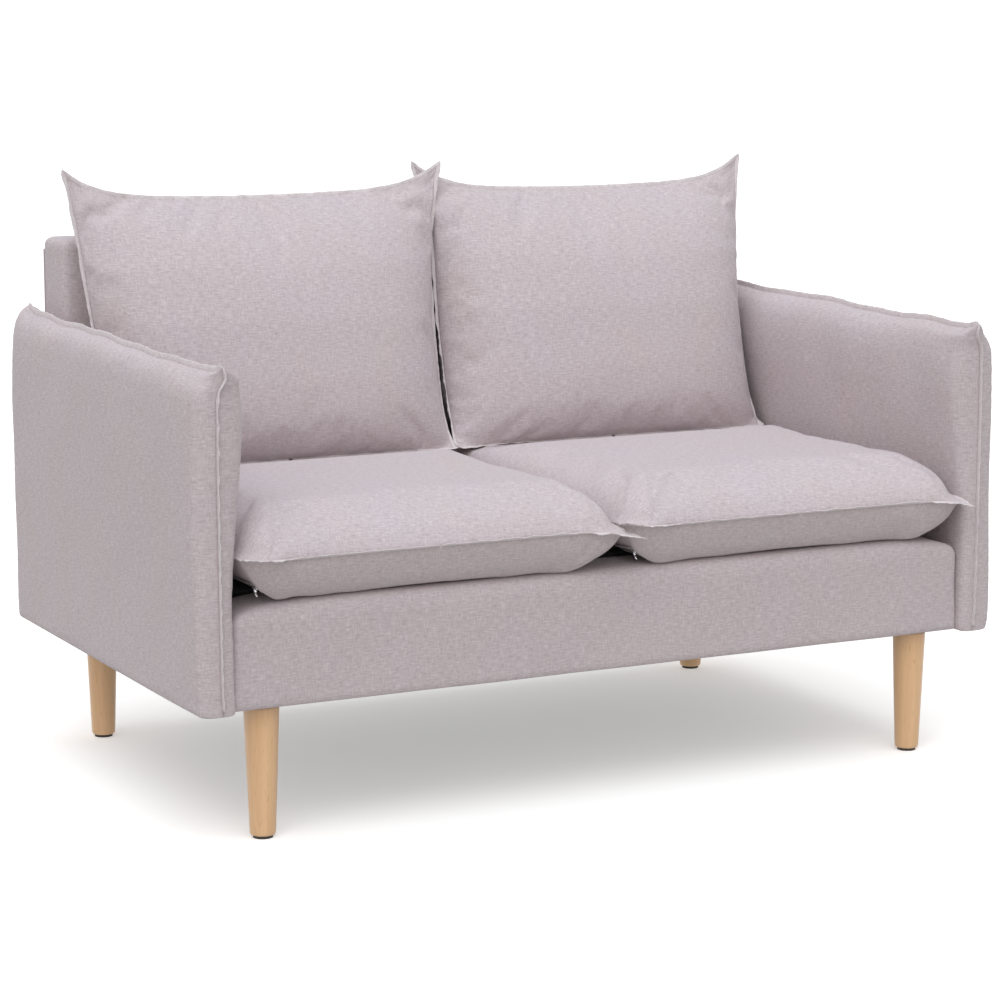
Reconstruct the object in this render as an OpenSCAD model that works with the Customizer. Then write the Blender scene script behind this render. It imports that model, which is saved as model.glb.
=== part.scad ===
// Two-seat sofa with tapered wooden legs, loose seat cushions and loose back cushions.
// Millimetres. X runs to the sitter's left-hand arm seen from the front, Y to the back, Z up.
// The origin is on the floor under the middle of the sofa's outline.

/* [Overall] */
// Width over both arms
overall_width = 1300; // [1080:10:1700]
// Depth from the cushion fronts to the rear flanges
overall_depth = 814; // [700:2:980]
// Height of the sofa's underside above the floor
floor_clearance = 188; // [150:1:230]
// Height of the upholstered base box
base_height = 147; // [120:1:180]
// Height of the arm flange above the floor
arm_height = 667; // [560:1:800]
// Height of the upholstered back above the floor
back_height = 775; // [650:1:930]
// Height of the back cushions' top edge above the floor
cushion_top = 880; // [820:1:1050]

/* [Arms] */
// Arm thickness beside the base
arm_thickness = 56; // [48:1:80]
// How far the padded inner side of an arm bulges over the seat
arm_bulge = 23; // [10:1:30]
// Distance from an arm's outer side to its seam
seam_inset = 35; // [28:1:40]
// Height over which an arm closes in to its top seam
shoulder = 60; // [40:1:80]
// Depth over which an arm closes in to its front and rear seams
nose = 26; // [15:1:40]
// Flange that stands out along the seams
flange_height = 8; // [4:1:12]
// Thickness of the flange
flange_thickness = 3; // [2:0.5:5]
// Thickness of the wooden arm frame
arm_frame_thickness = 34; // [26:1:40]
// Thickness of the hardboard on the arm frame's outer side
board_thickness = 3; // [2:0.5:5]

/* [Base and back] */
// How far the base front stands behind the arm fronts
base_recess = 12; // [5:1:30]
// How far the back stands inside the arms' rear faces
back_inset = 5; // [2:1:20]
// Thickness of the upholstered back
back_thickness = 92; // [80:1:120]
// Radius of the base's top front edge
base_edge_radius = 24; // [12:1:30]
// Radius of the back's top edges
back_edge_radius = 14; // [8:1:20]
// Thickness of upholstery fabric and its lining
cover_thickness = 2; // [1.5:0.5:3]
// Foam in front of the front rail
front_foam = 8; // [5:1:15]
// Foam and felt above the seat springs
deck_foam_height = 29; // [20:1:35]
// Thickness of the front, rear and spring rails
rail_thickness = 18; // [16:1:25]
// Thickness of the side rails
side_rail_thickness = 22; // [18:1:28]
// Width of the timber in the back frame
back_timber = 40; // [30:1:45]
// Width of the fabric border in front of the deck cloth
deck_border = 90; // [50:1:120]

/* [Springs and webbing] */
// Number of zigzag springs under the seat
spring_count = 8; // [4:2:10]
// Radius of the spring wire
wire_radius = 1.8; // [1.5:0.1:2.2]
// Half the width of a zigzag
zigzag_half_width = 24; // [18:1:30]
// Number of cross wires in one spring
cross_wires = 18; // [12:2:24]
// Width of a webbing strap
strap_width = 60; // [40:1:70]
// Thickness of a webbing strap
strap_thickness = 2.5; // [2:0.5:4]
// Number of straps across the back
strap_count = 4; // [3:1:4]

/* [Legs] */
// Leg diameter under the base
leg_top_diameter = 50; // [40:1:60]
// Leg diameter above the glide
leg_foot_diameter = 36; // [25:1:40]
// Distance from a leg's axis to the side of the base
leg_side_inset = 58; // [50:1:90]
// Distance from a front leg's axis to the base front
leg_front_inset = 43; // [38:1:80]
// Distance from a rear leg's axis to the base's rear
leg_rear_inset = 69; // [60:1:76]
// Height of the plastic glide under a leg
glide_height = 4; // [3:1:8]
// Radius of the threaded bolts
bolt_radius = 4; // [3:0.5:5]

/* [Cushions] */
// How far the seat cushions stand in front of the arms
cushion_overhang = 30; // [10:1:60]
// Height of the seat cushions' seam above the deck
seat_seam_rise = 63; // [45:1:75]
// Height of the seat cushions' crown above the seam
seat_crown = 62; // [40:1:80]
// Length of the slope under a seat cushion's sides
seat_slope = 60; // [40:1:80]
// Distance from the back to a back cushion's lower front edge
back_cushion_depth = 178; // [140:1:200]
// How far a back cushion's front bulges past its edges
back_cushion_bulge = 34; // [15:1:50]
// Gap between the two cushions of a pair
pair_gap = 4; // [2:1:10]

/* [Hidden] */
$fn = 48;

fabric_colour = [0.76, 0.72, 0.71];
wood_colour = [0.80, 0.62, 0.43];
pine_colour = [0.86, 0.74, 0.55];
foam_colour = [0.93, 0.90, 0.78];
cloth_colour = [0.10, 0.10, 0.11];
steel_colour = [0.62, 0.63, 0.65];

// Clearances
fit_gap = 0.5;      // between upholstered units that stand against each other
soft_gap = 0.3;     // between a soft part and what carries it
layer_gap = 0.2;    // between a cover and what it wraps
bolt_gap = 0.25;    // round a bolt's shank
bed_gap = 0.8;      // between a back cushion and what it leans on

// Positions
half_width = overall_width / 2;
arm_rear = overall_depth / 2 - flange_height;
arm_front = -overall_depth / 2 + cushion_overhang;
inner_half = half_width - arm_thickness;
seam_x = half_width - seam_inset;
ridge_z = arm_height - flange_height;
base_bottom = floor_clearance;
base_top = base_bottom + base_height;
base_half = inner_half - fit_gap;
base_front = arm_front + base_recess;
base_rear = arm_rear - back_inset;
back_front = base_rear - back_thickness;
back_bottom = base_top + fit_gap;

// Wooden base frame
dust_thickness = 1.5;
frame_bottom = base_bottom + dust_thickness + fit_gap;
frame_top = base_top - cover_thickness - layer_gap - deck_foam_height - 2 * (wire_radius + layer_gap);
frame_half = base_half - cover_thickness;
frame_front = base_front + cover_thickness + front_foam;
frame_rear = base_rear - cover_thickness;
rail_half = frame_half - side_rail_thickness;
plinth_front = back_front + 10;
spring_rail_rear = plinth_front;
spring_rail_front = spring_rail_rear - rail_thickness;
block_height = 30;
block_size = 90;
beam_width = 40;
beam_height = 60;
leg_x = base_half - leg_side_inset;
leg_front_y = base_front + leg_front_inset;
leg_rear_y = base_rear - leg_rear_inset;

// Seat springs
spring_half_pitch = rail_half / spring_count;
wire_z = frame_top + wire_radius + layer_gap;
clip_size = [26, 12, 2 * (wire_radius + layer_gap)];
wire_front = frame_front + rail_thickness / 2;
wire_rear = (spring_rail_front + spring_rail_rear) / 2;
wire_pitch = (wire_rear - wire_front) / (cross_wires - 1);
wire_sides = 6;

// Arm frame
arm_post = 60;
arm_rail = 50;
arm_foam_outer = 8;
arm_frame_outer = half_width - cover_thickness - arm_foam_outer - board_thickness;
arm_frame_inner = arm_frame_outer - arm_frame_thickness;
arm_frame_front = arm_front + nose;
arm_frame_rear = arm_rear - nose;
arm_frame_top = ridge_z - shoulder + 8;
arm_bolt_z = frame_bottom + arm_rail / 2;
arm_bolt_margin = 30;
arm_bolt_front_y = frame_front + rail_thickness + block_size + arm_bolt_margin;
arm_bolt_rear_y = spring_rail_front - arm_bolt_margin;
arm_bolt_ys = [arm_bolt_front_y, (arm_bolt_front_y + arm_bolt_rear_y) / 2, arm_bolt_rear_y];
nut_flange = 1.5;
nut_flange_radius = bolt_radius * 2.6;
nut_barrel_radius = bolt_radius + 1;
nut_barrel = 9;
head_height = 5;
head_radius = bolt_radius * 1.9;
hanger_depth = 35;

// Back frame
back_foam_front = 33;
back_frame_front = back_front + cover_thickness + back_foam_front;
back_frame_half = base_half - cover_thickness - 5;
back_frame_top = back_height - cover_thickness - 16;
back_frame_bottom = back_bottom + cover_thickness + layer_gap;
back_bolt_y = back_frame_front + back_timber / 2;
back_bolt_xs = [for (share = [-0.8, -0.27, 0.27, 0.8]) share * back_frame_half];

// Cushions
seat_seam_z = base_top + seat_seam_rise;
seat_bottom = base_top + soft_gap;
seat_front = -overall_depth / 2;
seat_rear = back_front - bed_gap - 3;
seat_mid_y = (seat_front + seat_rear) / 2;
seat_half_length = (seat_rear - seat_front) / 2;
slope_share = (seat_seam_z - base_top) / (arm_widest_z() - base_top);
seat_outer_x = inner_half - arm_bulge * slope_share - 2;
seat_half_width = (seat_outer_x - pair_gap / 2) / 2;
seat_mid_x = pair_gap / 2 + seat_half_width;
edge_half = 10;
back_cushion_rear = back_front - bed_gap;
back_cushion_front = back_front - back_cushion_depth;
back_cushion_low_x = inner_half - arm_bulge - 3;
back_cushion_high_x = inner_half - 5;
back_cushion_tip_y = back_front - edge_half - bed_gap - 1;
chamfer_y = back_front - 46;
chamfer_z = base_top + 145;
bed_rise = bed_gap + max([for (t = [0:0.1:1])
    seat_top(mix(back_cushion_front, chamfer_y, t))
    - mix(seat_top(back_cushion_front), seat_top(chamfer_y), t)]);
zip_width = 22;
zip_thickness = 2;
zip_run = 440;
slider_size = [9, 15, 3];
zip_gap = 0.3;

function arm_widest_z() = ridge_z - shoulder - 50;
function crown(t, p, q) = pow(max(0, 1 - pow(abs(t), p)), q);
function mix(a, b, t) = a + (b - a) * t;
function seat_top(y, inset = 0) =
    seat_seam_z + edge_half - inset / 2
    + (seat_crown - edge_half - inset / 2) * crown((y - seat_mid_y) / seat_half_length, 2.4, 0.6);

// ---------- helpers ----------

// Extrudes an outline drawn in Y and Z along X, centred
module along_x(length) {
    translate([-length / 2, 0, 0])
        rotate([90, 0, 90])
            linear_extrude(length) children();
}

// Extrudes an outline drawn in X and Z along Y, from y0 to y1
module along_y(y0, y1) {
    translate([0, y1, 0])
        rotate([90, 0, 0])
            linear_extrude(y1 - y0) children();
}

// A box between two corners
module box(low, high) {
    translate(low) cube(high - low);
}

// Puts its children on both sides of the middle plane
module both_sides() {
    children();
    mirror([1, 0, 0]) children();
}

// Puts its children at the four leg axes
module at_legs() {
    for (x = [-leg_x, leg_x], y = [leg_front_y, leg_rear_y])
        translate([x, y, 0]) children();
}

// A rectangle in Y and Z whose top front corner, and top rear corner if asked, is round
module rounded_side(y0, y1, z0, z1, r, both) {
    translate([y0, z0]) square([y1 - y0, z1 - z0 - r]);
    translate([y0 + r, z0]) square([y1 - y0 - (both ? 2 : 1) * r, z1 - z0]);
    translate([y0 + r, z1 - r]) circle(r);
    if (both) translate([y1 - r, z1 - r]) circle(r);
}

// ---------- base ----------

// The base's outline, drawn in by an inset on every upholstered side
module base_block(inset, low = base_bottom) {
    along_x(2 * (base_half - inset))
        rounded_side(base_front + inset, base_rear - inset, low, base_top - inset,
                     base_edge_radius - inset, false);
}

module base_front_rail() {
    color(pine_colour)
        box([-rail_half, frame_front, frame_bottom], [rail_half, frame_front + rail_thickness, frame_top]);
}

module base_rear_rail() {
    color(pine_colour)
        box([-rail_half, frame_rear - rail_thickness, frame_bottom], [rail_half, frame_rear, frame_top]);
}

module base_side_rails() {
    color(pine_colour)
        both_sides()
            difference() {
                box([rail_half, frame_front, frame_bottom], [frame_half, frame_rear, frame_top]);
                arm_bolt_holes();
            }
}

module base_spring_rail() {
    color(pine_colour)
        box([-rail_half, spring_rail_front, frame_bottom], [rail_half, spring_rail_rear, frame_top]);
}

module base_middle_beam() {
    color(pine_colour)
        box([-beam_width / 2, frame_front + rail_thickness, frame_bottom + block_height],
            [beam_width / 2, spring_rail_front, frame_bottom + block_height + beam_height]);
}

// Blocks in the four corners that carry the legs' nuts
module corner_blocks() {
    top = frame_bottom + block_height;
    front = frame_front + rail_thickness;
    rear = frame_rear - rail_thickness;
    color(pine_colour)
        both_sides()
            difference() {
                union() {
                    box([rail_half - block_size, front, frame_bottom], [rail_half, front + block_size, top]);
                    box([rail_half - block_size, spring_rail_rear, frame_bottom], [rail_half, rear, top]);
                }
                for (y = [leg_front_y, leg_rear_y])
                    translate([leg_x, y, frame_bottom - 1])
                        cylinder(h = block_height + 2, r = nut_barrel_radius + layer_gap / 2);
            }
}

// Packing board on which the back stands
module back_plinth() {
    color(pine_colour)
        difference() {
            box([-frame_half + layer_gap, plinth_front, frame_top],
                [frame_half - layer_gap, frame_rear - layer_gap, base_top - cover_thickness - layer_gap]);
            back_bolt_holes();
        }
}

// Path of one zigzag wire, three points for each cross wire
function zigzag() = [
    for (i = [0:cross_wires - 1])
        let (side = i % 2 == 0 ? 1 : -1, y = wire_front + i * wire_pitch)
            for (part = [0:(i < cross_wires - 1 ? 2 : 1)])
                part == 0 ? [-side * (zigzag_half_width - 5), y]
                : part == 1 ? [side * (zigzag_half_width - 5), y]
                : [side * (zigzag_half_width + 1), y + wire_pitch / 2]
];

function unit(v) = v / norm(v);

// A round wire swept along a flat path
module wire(path, r) {
    last = len(path) - 1;
    rings = [
        for (i = [0:last])
            let (t = unit(path[min(i + 1, last)] - path[max(i - 1, 0)]))
                for (k = [0:wire_sides - 1])
                    let (a = 360 * k / wire_sides)
                        [path[i][0] - t[1] * r * cos(a), path[i][1] + t[0] * r * cos(a), r * sin(a)]
    ];
    sides = [
        for (i = [0:last - 1], k = [0:wire_sides - 1])
            let (a = i * wire_sides + k, b = i * wire_sides + (k + 1) % wire_sides)
                [a, a + wire_sides, b + wire_sides, b]
    ];
    near = [for (k = [0:wire_sides - 1]) k];
    far = [for (k = [wire_sides - 1:-1:0]) last * wire_sides + k];
    polyhedron(points = rings, faces = concat(sides, [near, far]), convexity = 4);
}

module at_springs() {
    for (i = [0:spring_count - 1])
        translate([-rail_half + (2 * i + 1) * spring_half_pitch, 0, 0]) children();
}

module seat_springs() {
    color(steel_colour)
        at_springs()
            translate([0, 0, wire_z]) wire(zigzag(), wire_radius);
}

// Clips that hold both ends of every spring on its rail
module spring_clips() {
    color(steel_colour)
        at_springs()
            for (y = [wire_front, wire_rear])
                difference() {
                    translate([0, y, frame_top + clip_size[2] / 2]) cube(clip_size, center = true);
                    translate([0, y, wire_z]) rotate([0, 90, 0])
                        cylinder(h = clip_size[0] + 2, r = wire_radius + 0.1, center = true);
                }
}

// Foam over the springs and down the front of the front rail
module deck_foam() {
    color(foam_colour)
        difference() {
            base_block(cover_thickness + layer_gap, frame_bottom);
            box([-half_width, frame_front - layer_gap, 0],
                [half_width, overall_depth, base_top - cover_thickness - layer_gap - deck_foam_height]);
            box([-half_width, plinth_front - layer_gap, 0], [half_width, overall_depth, 2 * base_top]);
            box([-half_width, base_front + deck_border, base_top - 2 * cover_thickness],
                [half_width, overall_depth, 2 * base_top]);
        }
}

// Black non-woven cloth behind the fabric border
module deck_cloth() {
    color(cloth_colour)
        box([-frame_half + layer_gap, base_front + deck_border + layer_gap,
             base_top - 2 * cover_thickness + layer_gap],
            [frame_half - layer_gap, back_front, base_top - layer_gap]);
}

// Fabric wrapped round the front, sides, rear and top borders of the base
module base_cover() {
    color(fabric_colour)
        difference() {
            base_block(0);
            base_block(cover_thickness, base_bottom - 1);
            box([-frame_half, base_front + deck_border, base_top - 3 * cover_thickness],
                [frame_half, back_front + layer_gap, base_top + 1]);
            both_sides() arm_bolt_holes();
            back_bolt_holes();
        }
}

// Black cloth stapled under the base
module dust_cover() {
    color(cloth_colour)
        difference() {
            box([-frame_half + layer_gap, base_front + cover_thickness + layer_gap, base_bottom],
                [frame_half - layer_gap, frame_rear - layer_gap, base_bottom + dust_thickness]);
            at_legs() translate([0, 0, base_bottom - 1]) cylinder(h = 10, r = bolt_radius + 2);
        }
}

// ---------- back ----------

module back_block(inset) {
    along_x(2 * (base_half - inset))
        rounded_side(back_front + inset, base_rear - inset, back_bottom + inset, back_height - inset,
                     back_edge_radius - inset, true);
}

module back_bottom_rail() {
    color(pine_colour)
        difference() {
            box([-back_frame_half, back_frame_front, back_frame_bottom],
                [back_frame_half, back_frame_front + back_timber, back_frame_bottom + back_timber]);
            back_bolt_holes();
        }
}

module back_top_rail() {
    color(pine_colour)
        box([-back_frame_half, back_frame_front, back_frame_top - back_timber],
            [back_frame_half, back_frame_front + back_timber, back_frame_top]);
}

module back_posts() {
    color(pine_colour)
        for (x = [-1, 0, 1] * (back_frame_half - back_timber / 2))
            box([x - back_timber / 2, back_frame_front, back_frame_bottom + back_timber],
                [x + back_timber / 2, back_frame_front + back_timber, back_frame_top - back_timber]);
}

// Elastic straps stapled across the posts
module back_webbing() {
    low = back_frame_bottom + back_timber;
    pitch = (back_frame_top - back_timber - low) / strap_count;
    color(cloth_colour)
        for (i = [0:strap_count - 1])
            translate([0, 0, low + (i + 0.5) * pitch])
                box([-back_frame_half, back_frame_front - strap_thickness, -strap_width / 2],
                    [back_frame_half, back_frame_front, strap_width / 2]);
}

module back_foam() {
    color(foam_colour)
        difference() {
            back_block(cover_thickness + layer_gap);
            box([-back_frame_half - layer_gap, back_frame_front - strap_thickness - layer_gap, 0],
                [back_frame_half + layer_gap, overall_depth, back_frame_top + layer_gap]);
        }
}

// Fabric on the front, top, ends and underside of the back
module back_cover() {
    color(fabric_colour)
        difference() {
            back_block(0);
            back_block(cover_thickness);
            box([-frame_half, base_rear - 3 * cover_thickness, back_bottom + cover_thickness],
                [frame_half, base_rear + 1, back_height - back_edge_radius]);
            back_bolt_holes();
        }
}

// Separate fabric panel that closes the rear
module back_rear_panel() {
    color(fabric_colour)
        box([-frame_half + layer_gap, base_rear - cover_thickness, back_bottom + cover_thickness + layer_gap],
            [frame_half - layer_gap, base_rear, back_height - back_edge_radius - layer_gap]);
}

module back_bolt_holes() {
    for (x = back_bolt_xs)
        translate([x, back_bolt_y, frame_bottom])
            cylinder(h = back_frame_bottom + back_timber, r = bolt_radius + bolt_gap);
}

// Bolts that hold the back to the base, with their heads under the plinth
module back_bolts() {
    color(steel_colour)
        for (x = back_bolt_xs)
            translate([x, back_bolt_y, 0]) {
                translate([0, 0, frame_top - head_height]) cylinder(h = head_height, r = head_radius);
                translate([0, 0, frame_top - 1])
                    cylinder(h = back_frame_bottom + back_timber - 6 - frame_top, r = bolt_radius);
            }
}

// ---------- arms, drawn for the +X side ----------

// Outline seen from the front, drawn in by an inset: flat sides that close in to the top seam
module arm_front_outline(inset) {
    outer = half_width - inset;
    inner = inner_half + inset;
    widest = inner_half - arm_bulge + inset;
    side_z = ridge_z - shoulder;
    peak_z = ridge_z - 1.4 * inset;
    steps = [0:0.2:1];
    polygon(concat(
        [[inner, base_bottom], [outer, base_bottom]],
        [for (t = steps) [mix(outer, seam_x, t * t), mix(side_z, peak_z, t)]],
        [for (t = steps) [mix(seam_x, widest, 1 - (1 - t) * (1 - t)), mix(peak_z, side_z, t)]],
        [[widest, arm_widest_z()], [inner, base_top]]
    ));
}

// Outline seen from above, closing in to the front and rear seams
module arm_plan_outline(inset) {
    outer = half_width - inset;
    inner = inner_half - arm_bulge + inset;
    front = arm_front + 1.4 * inset;
    rear = arm_rear - 1.4 * inset;
    steps = [0:0.25:1];
    polygon(concat(
        [for (t = steps) [mix(seam_x, outer, 1 - (1 - t) * (1 - t)), mix(front, arm_front + nose, t)]],
        [for (t = steps) [mix(outer, seam_x, t * t), mix(arm_rear - nose, rear, t)]],
        [for (t = steps) [mix(seam_x, inner, 1 - (1 - t) * (1 - t)), mix(rear, arm_rear - nose, t)]],
        [for (t = steps) [mix(inner, seam_x, t * t), mix(arm_front + nose, front, t)]]
    ));
}

// One whole padded arm, pressed flat where the back stands against it
module arm_block(inset) {
    difference() {
        intersection() {
            along_y(arm_front - 1, arm_rear + 1) arm_front_outline(inset);
            translate([0, 0, base_bottom]) linear_extrude(arm_height) arm_plan_outline(inset);
        }
        box([0, back_front - 1 - inset, 0], [inner_half + inset, overall_depth, back_height]);
    }
}

module arm_frame_space(gap) {
    box([arm_frame_inner - gap, arm_frame_front - gap, 0],
        [arm_frame_outer + board_thickness + gap, arm_frame_rear + gap, arm_frame_top + gap]);
}

module arm_frame() {
    x0 = arm_frame_inner;
    x1 = arm_frame_outer;
    color(pine_colour)
        difference() {
            union() {
                box([x0, arm_frame_front, frame_bottom],
                    [x1, arm_frame_rear, frame_bottom + arm_rail]);
                box([x0, arm_frame_front, arm_frame_top - arm_rail],
                    [x1, arm_frame_rear, arm_frame_top]);
                for (y = [arm_frame_front, (arm_frame_front + arm_frame_rear - arm_post) / 2,
                          arm_frame_rear - arm_post])
                    box([x0, y, frame_bottom + arm_rail - 1],
                        [x1, y + arm_post, arm_frame_top - arm_rail + 1]);
            }
            arm_bolt_holes();
            for (y = arm_bolt_ys)
                translate([x1 - nut_flange, y, arm_bolt_z]) rotate([0, 90, 0])
                    cylinder(h = 10, r = nut_flange_radius + layer_gap);
            for (y = arm_bolt_ys)
                translate([x1 - nut_flange - nut_barrel - layer_gap, y, arm_bolt_z]) rotate([0, 90, 0])
                    cylinder(h = 20, r = nut_barrel_radius + layer_gap / 2);
        }
}

module arm_board() {
    color([0.55, 0.40, 0.27])
        box([arm_frame_outer, arm_frame_front, frame_bottom],
            [arm_frame_outer + board_thickness, arm_frame_rear, arm_frame_top]);
}

module arm_foam() {
    color(foam_colour)
        difference() {
            arm_block(cover_thickness + layer_gap);
            arm_frame_space(layer_gap);
            arm_bolt_holes();
        }
}

module arm_cover() {
    difference() {
        arm_block(0);
        intersection() {
            arm_block(cover_thickness);
            box([0, -overall_depth, 0], [overall_width, overall_depth, arm_height]);
        }
        translate([0, 0, -1]) intersection() {
            arm_block(cover_thickness);
            box([0, -overall_depth, 0], [overall_width, overall_depth, base_bottom + 5]);
        }
        arm_bolt_holes();
    }
}

module arm_outer_cover() {
    color(fabric_colour)
        intersection() {
            arm_cover();
            box([seam_x, -overall_depth, 0], [overall_width, overall_depth, arm_height]);
        }
}

module arm_inner_cover() {
    color(fabric_colour)
        intersection() {
            arm_cover();
            box([0, -overall_depth, 0], [seam_x, overall_depth, arm_height]);
        }
}

// Stand-up flange along the front, top and rear seams
module arm_flange() {
    reach = flange_height;
    color(fabric_colour)
        difference() {
            box([seam_x - flange_thickness / 2, arm_front - reach, base_bottom + 6],
                [seam_x + flange_thickness / 2, arm_rear + reach, ridge_z + reach]);
            box([0, arm_front + 4, 0], [overall_width, arm_rear - 4, ridge_z - 4]);
            arm_block(0);
        }
}

module arm_bolt_holes() {
    for (y = arm_bolt_ys)
        translate([rail_half - 1, y, arm_bolt_z]) rotate([0, 90, 0])
            cylinder(h = arm_frame_outer - rail_half, r = bolt_radius + bolt_gap);
}

// Bolts from inside the base into the arm frames
module arm_bolts() {
    color(steel_colour)
        both_sides()
            for (y = arm_bolt_ys)
                translate([0, y, arm_bolt_z]) rotate([0, 90, 0]) {
                    translate([0, 0, rail_half - head_height]) cylinder(h = head_height, r = head_radius);
                    translate([0, 0, rail_half - 1])
                        cylinder(h = arm_frame_outer - rail_half - 2, r = bolt_radius);
                }
}

// A flanged nut on the Z axis, with its flange below zero
module flanged_nut() {
    difference() {
        union() {
            translate([0, 0, -nut_flange]) cylinder(h = nut_flange, r = nut_flange_radius);
            translate([0, 0, -0.5]) cylinder(h = nut_barrel + 0.5, r = nut_barrel_radius);
        }
        translate([0, 0, -5]) cylinder(h = nut_barrel + 10, r = bolt_radius + 0.1);
    }
}

module arm_nuts() {
    color(steel_colour)
        both_sides()
            for (y = arm_bolt_ys)
                translate([arm_frame_outer - nut_flange, y, arm_bolt_z]) rotate([0, -90, 0]) flanged_nut();
}

// ---------- legs ----------

// Turned and tapered, with a softened foot and a hole for its hanger bolt
module leg() {
    top_r = leg_top_diameter / 2;
    foot_r = leg_foot_diameter / 2;
    color(wood_colour)
        difference() {
            rotate_extrude()
                polygon([[0, glide_height], [foot_r - 3, glide_height], [foot_r, glide_height + 3],
                         [top_r, base_bottom - 2], [top_r - 2, base_bottom], [0, base_bottom]]);
            translate([0, 0, base_bottom - hanger_depth])
                cylinder(h = hanger_depth + 1, r = bolt_radius + 0.1);
        }
}

module leg_front_left() {
    translate([-leg_x, leg_front_y, 0]) leg();
}

module leg_front_right() {
    translate([leg_x, leg_front_y, 0]) leg();
}

module leg_rear_left() {
    translate([-leg_x, leg_rear_y, 0]) leg();
}

module leg_rear_right() {
    translate([leg_x, leg_rear_y, 0]) leg();
}

module leg_bolts() {
    color(steel_colour)
        at_legs()
            translate([0, 0, base_bottom - hanger_depth])
                cylinder(h = hanger_depth + frame_bottom - base_bottom + block_height + 2, r = bolt_radius);
}

module leg_nuts() {
    color(steel_colour)
        at_legs()
            translate([0, 0, frame_bottom + block_height]) rotate([180, 0, 0]) flanged_nut();
}

module leg_glides() {
    color(cloth_colour)
        at_legs() cylinder(h = glide_height, r = leg_foot_diameter / 2 - 4);
}

// ---------- seat cushions, drawn about X = 0 ----------

module seat_block(inset) {
    half_w = seat_half_width - inset;
    half_l = seat_half_length - inset;
    low = seat_bottom + inset;
    edge = edge_half - inset / 2;
    steps = [-1:0.1:1];
    intersection() {
        along_x(2 * half_w)
            polygon(concat(
                [for (t = steps) [seat_mid_y + half_l * t,
                                  seat_top(seat_mid_y + seat_half_length * t, inset)]],
                [for (t = steps) [seat_mid_y - half_l * t,
                                  mix(seat_seam_z - edge, low, crown(t, 10, 0.5))]]
            ));
        along_y(seat_front, seat_rear)
            polygon(concat(
                [for (t = steps) [half_w * t, seat_seam_z + edge
                                              + (seat_crown - edge - inset) * crown(t, 4, 0.5)]],
                [[half_w, seat_seam_z - edge], [half_w - seat_slope, low],
                 [-half_w + seat_slope, low], [-half_w, seat_seam_z - edge]]
            ));
    }
}

module seat_cover() {
    color(fabric_colour)
        difference() {
            seat_block(0);
            seat_block(cover_thickness);
        }
}

module seat_core() {
    color(foam_colour) seat_block(cover_thickness + layer_gap);
}

// Places its children on the slope under the cushion's left side, with Z up into the cushion
module on_seat_slope() {
    rise = seat_seam_z - edge_half - seat_bottom;
    share = 0.66;
    translate([-seat_half_width + seat_slope * share, seat_front + 50, seat_bottom + rise * (1 - share)])
        rotate([0, atan2(rise, seat_slope), 0]) children();
}

module zip_tape(length) {
    color([0.72, 0.68, 0.67])
        union() {
            translate([-zip_width / 2, 0, -zip_thickness / 2]) cube([zip_width, length, zip_thickness / 2]);
            translate([-3, 0, -zip_thickness]) cube([6, length, zip_thickness]);
        }
}

// Slider body under the coil, with a pull that has a round eye
module zip_slider() {
    color(steel_colour)
        translate([0, slider_size[1] / 2, -zip_thickness - zip_gap - slider_size[2] / 2])
            difference() {
                union() {
                    cube(slider_size, center = true);
                    translate([0, -slider_size[1] / 2 - 4, -0.5]) cube([5, 14, 1.6], center = true);
                }
                translate([0, -slider_size[1] / 2 - 7, -5]) cylinder(h = 10, r = 1.3);
            }
}

module seat_zip() {
    on_seat_slope() zip_tape(zip_run);
}

module seat_zip_slider() {
    on_seat_slope() zip_slider();
}

// ---------- back cushions, drawn for the +X side ----------

// Side view: bed on the seat cushion, upright rear, leaning and bulging front
module back_side_outline(inset) {
    front_y = back_cushion_front + inset;
    rear_y = back_cushion_rear - inset;
    top_z = cushion_top - inset;
    front_z = seat_top(back_cushion_front) + bed_rise + inset;
    polygon(concat(
        [[front_y, front_z], [chamfer_y - inset / 2, seat_top(chamfer_y) + bed_rise + inset]],
        [[rear_y, chamfer_z + inset / 2], [rear_y, back_height - 20]],
        [[back_cushion_tip_y + edge_half - inset, top_z], [back_cushion_tip_y - edge_half + inset, top_z]],
        [for (t = [0.1:0.1:0.9])
            let (z = mix(top_z, front_z, t))
                [mix(back_cushion_tip_y - edge_half + inset, front_y, t)
                 - back_cushion_bulge * crown(2 * t - 1, 2.2, 0.7), z]]
    ));
}

// Front view: the outer side is held in by the arm and widens above it
module back_front_outline(inset) {
    low = base_top;
    inner_x = pair_gap / 2 + inset;
    polygon([[inner_x, low], [back_cushion_low_x - inset, low], [back_cushion_low_x - inset, arm_height],
             [back_cushion_high_x - inset, cushion_top], [inner_x, cushion_top]]);
}

module back_cushion_block(inset) {
    intersection() {
        translate([half_width, 0, 0]) along_x(2 * half_width) back_side_outline(inset);
        along_y(-half_width, half_width) back_front_outline(inset);
    }
}

module back_cushion_cover() {
    color(fabric_colour)
        difference() {
            back_cushion_block(0);
            back_cushion_block(cover_thickness);
        }
}

module back_cushion_filling() {
    color(foam_colour) back_cushion_block(cover_thickness + layer_gap);
}

// Places its children on the slope at the lower rear edge, with Z up into the cushion
module on_back_slope(x) {
    low_z = seat_top(chamfer_y) + bed_rise;
    run = back_cushion_rear - chamfer_y;
    translate([x, mix(chamfer_y, back_cushion_rear, 0.5), mix(low_z, chamfer_z, 0.5)])
        rotate([atan2(chamfer_z - low_z, run), 0, 0])
            rotate([0, 0, -90]) children();
}

module back_zip(x) {
    on_back_slope(x) zip_tape(zip_run);
}

module back_zip_slider(x) {
    on_back_slope(x) zip_slider();
}

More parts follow.
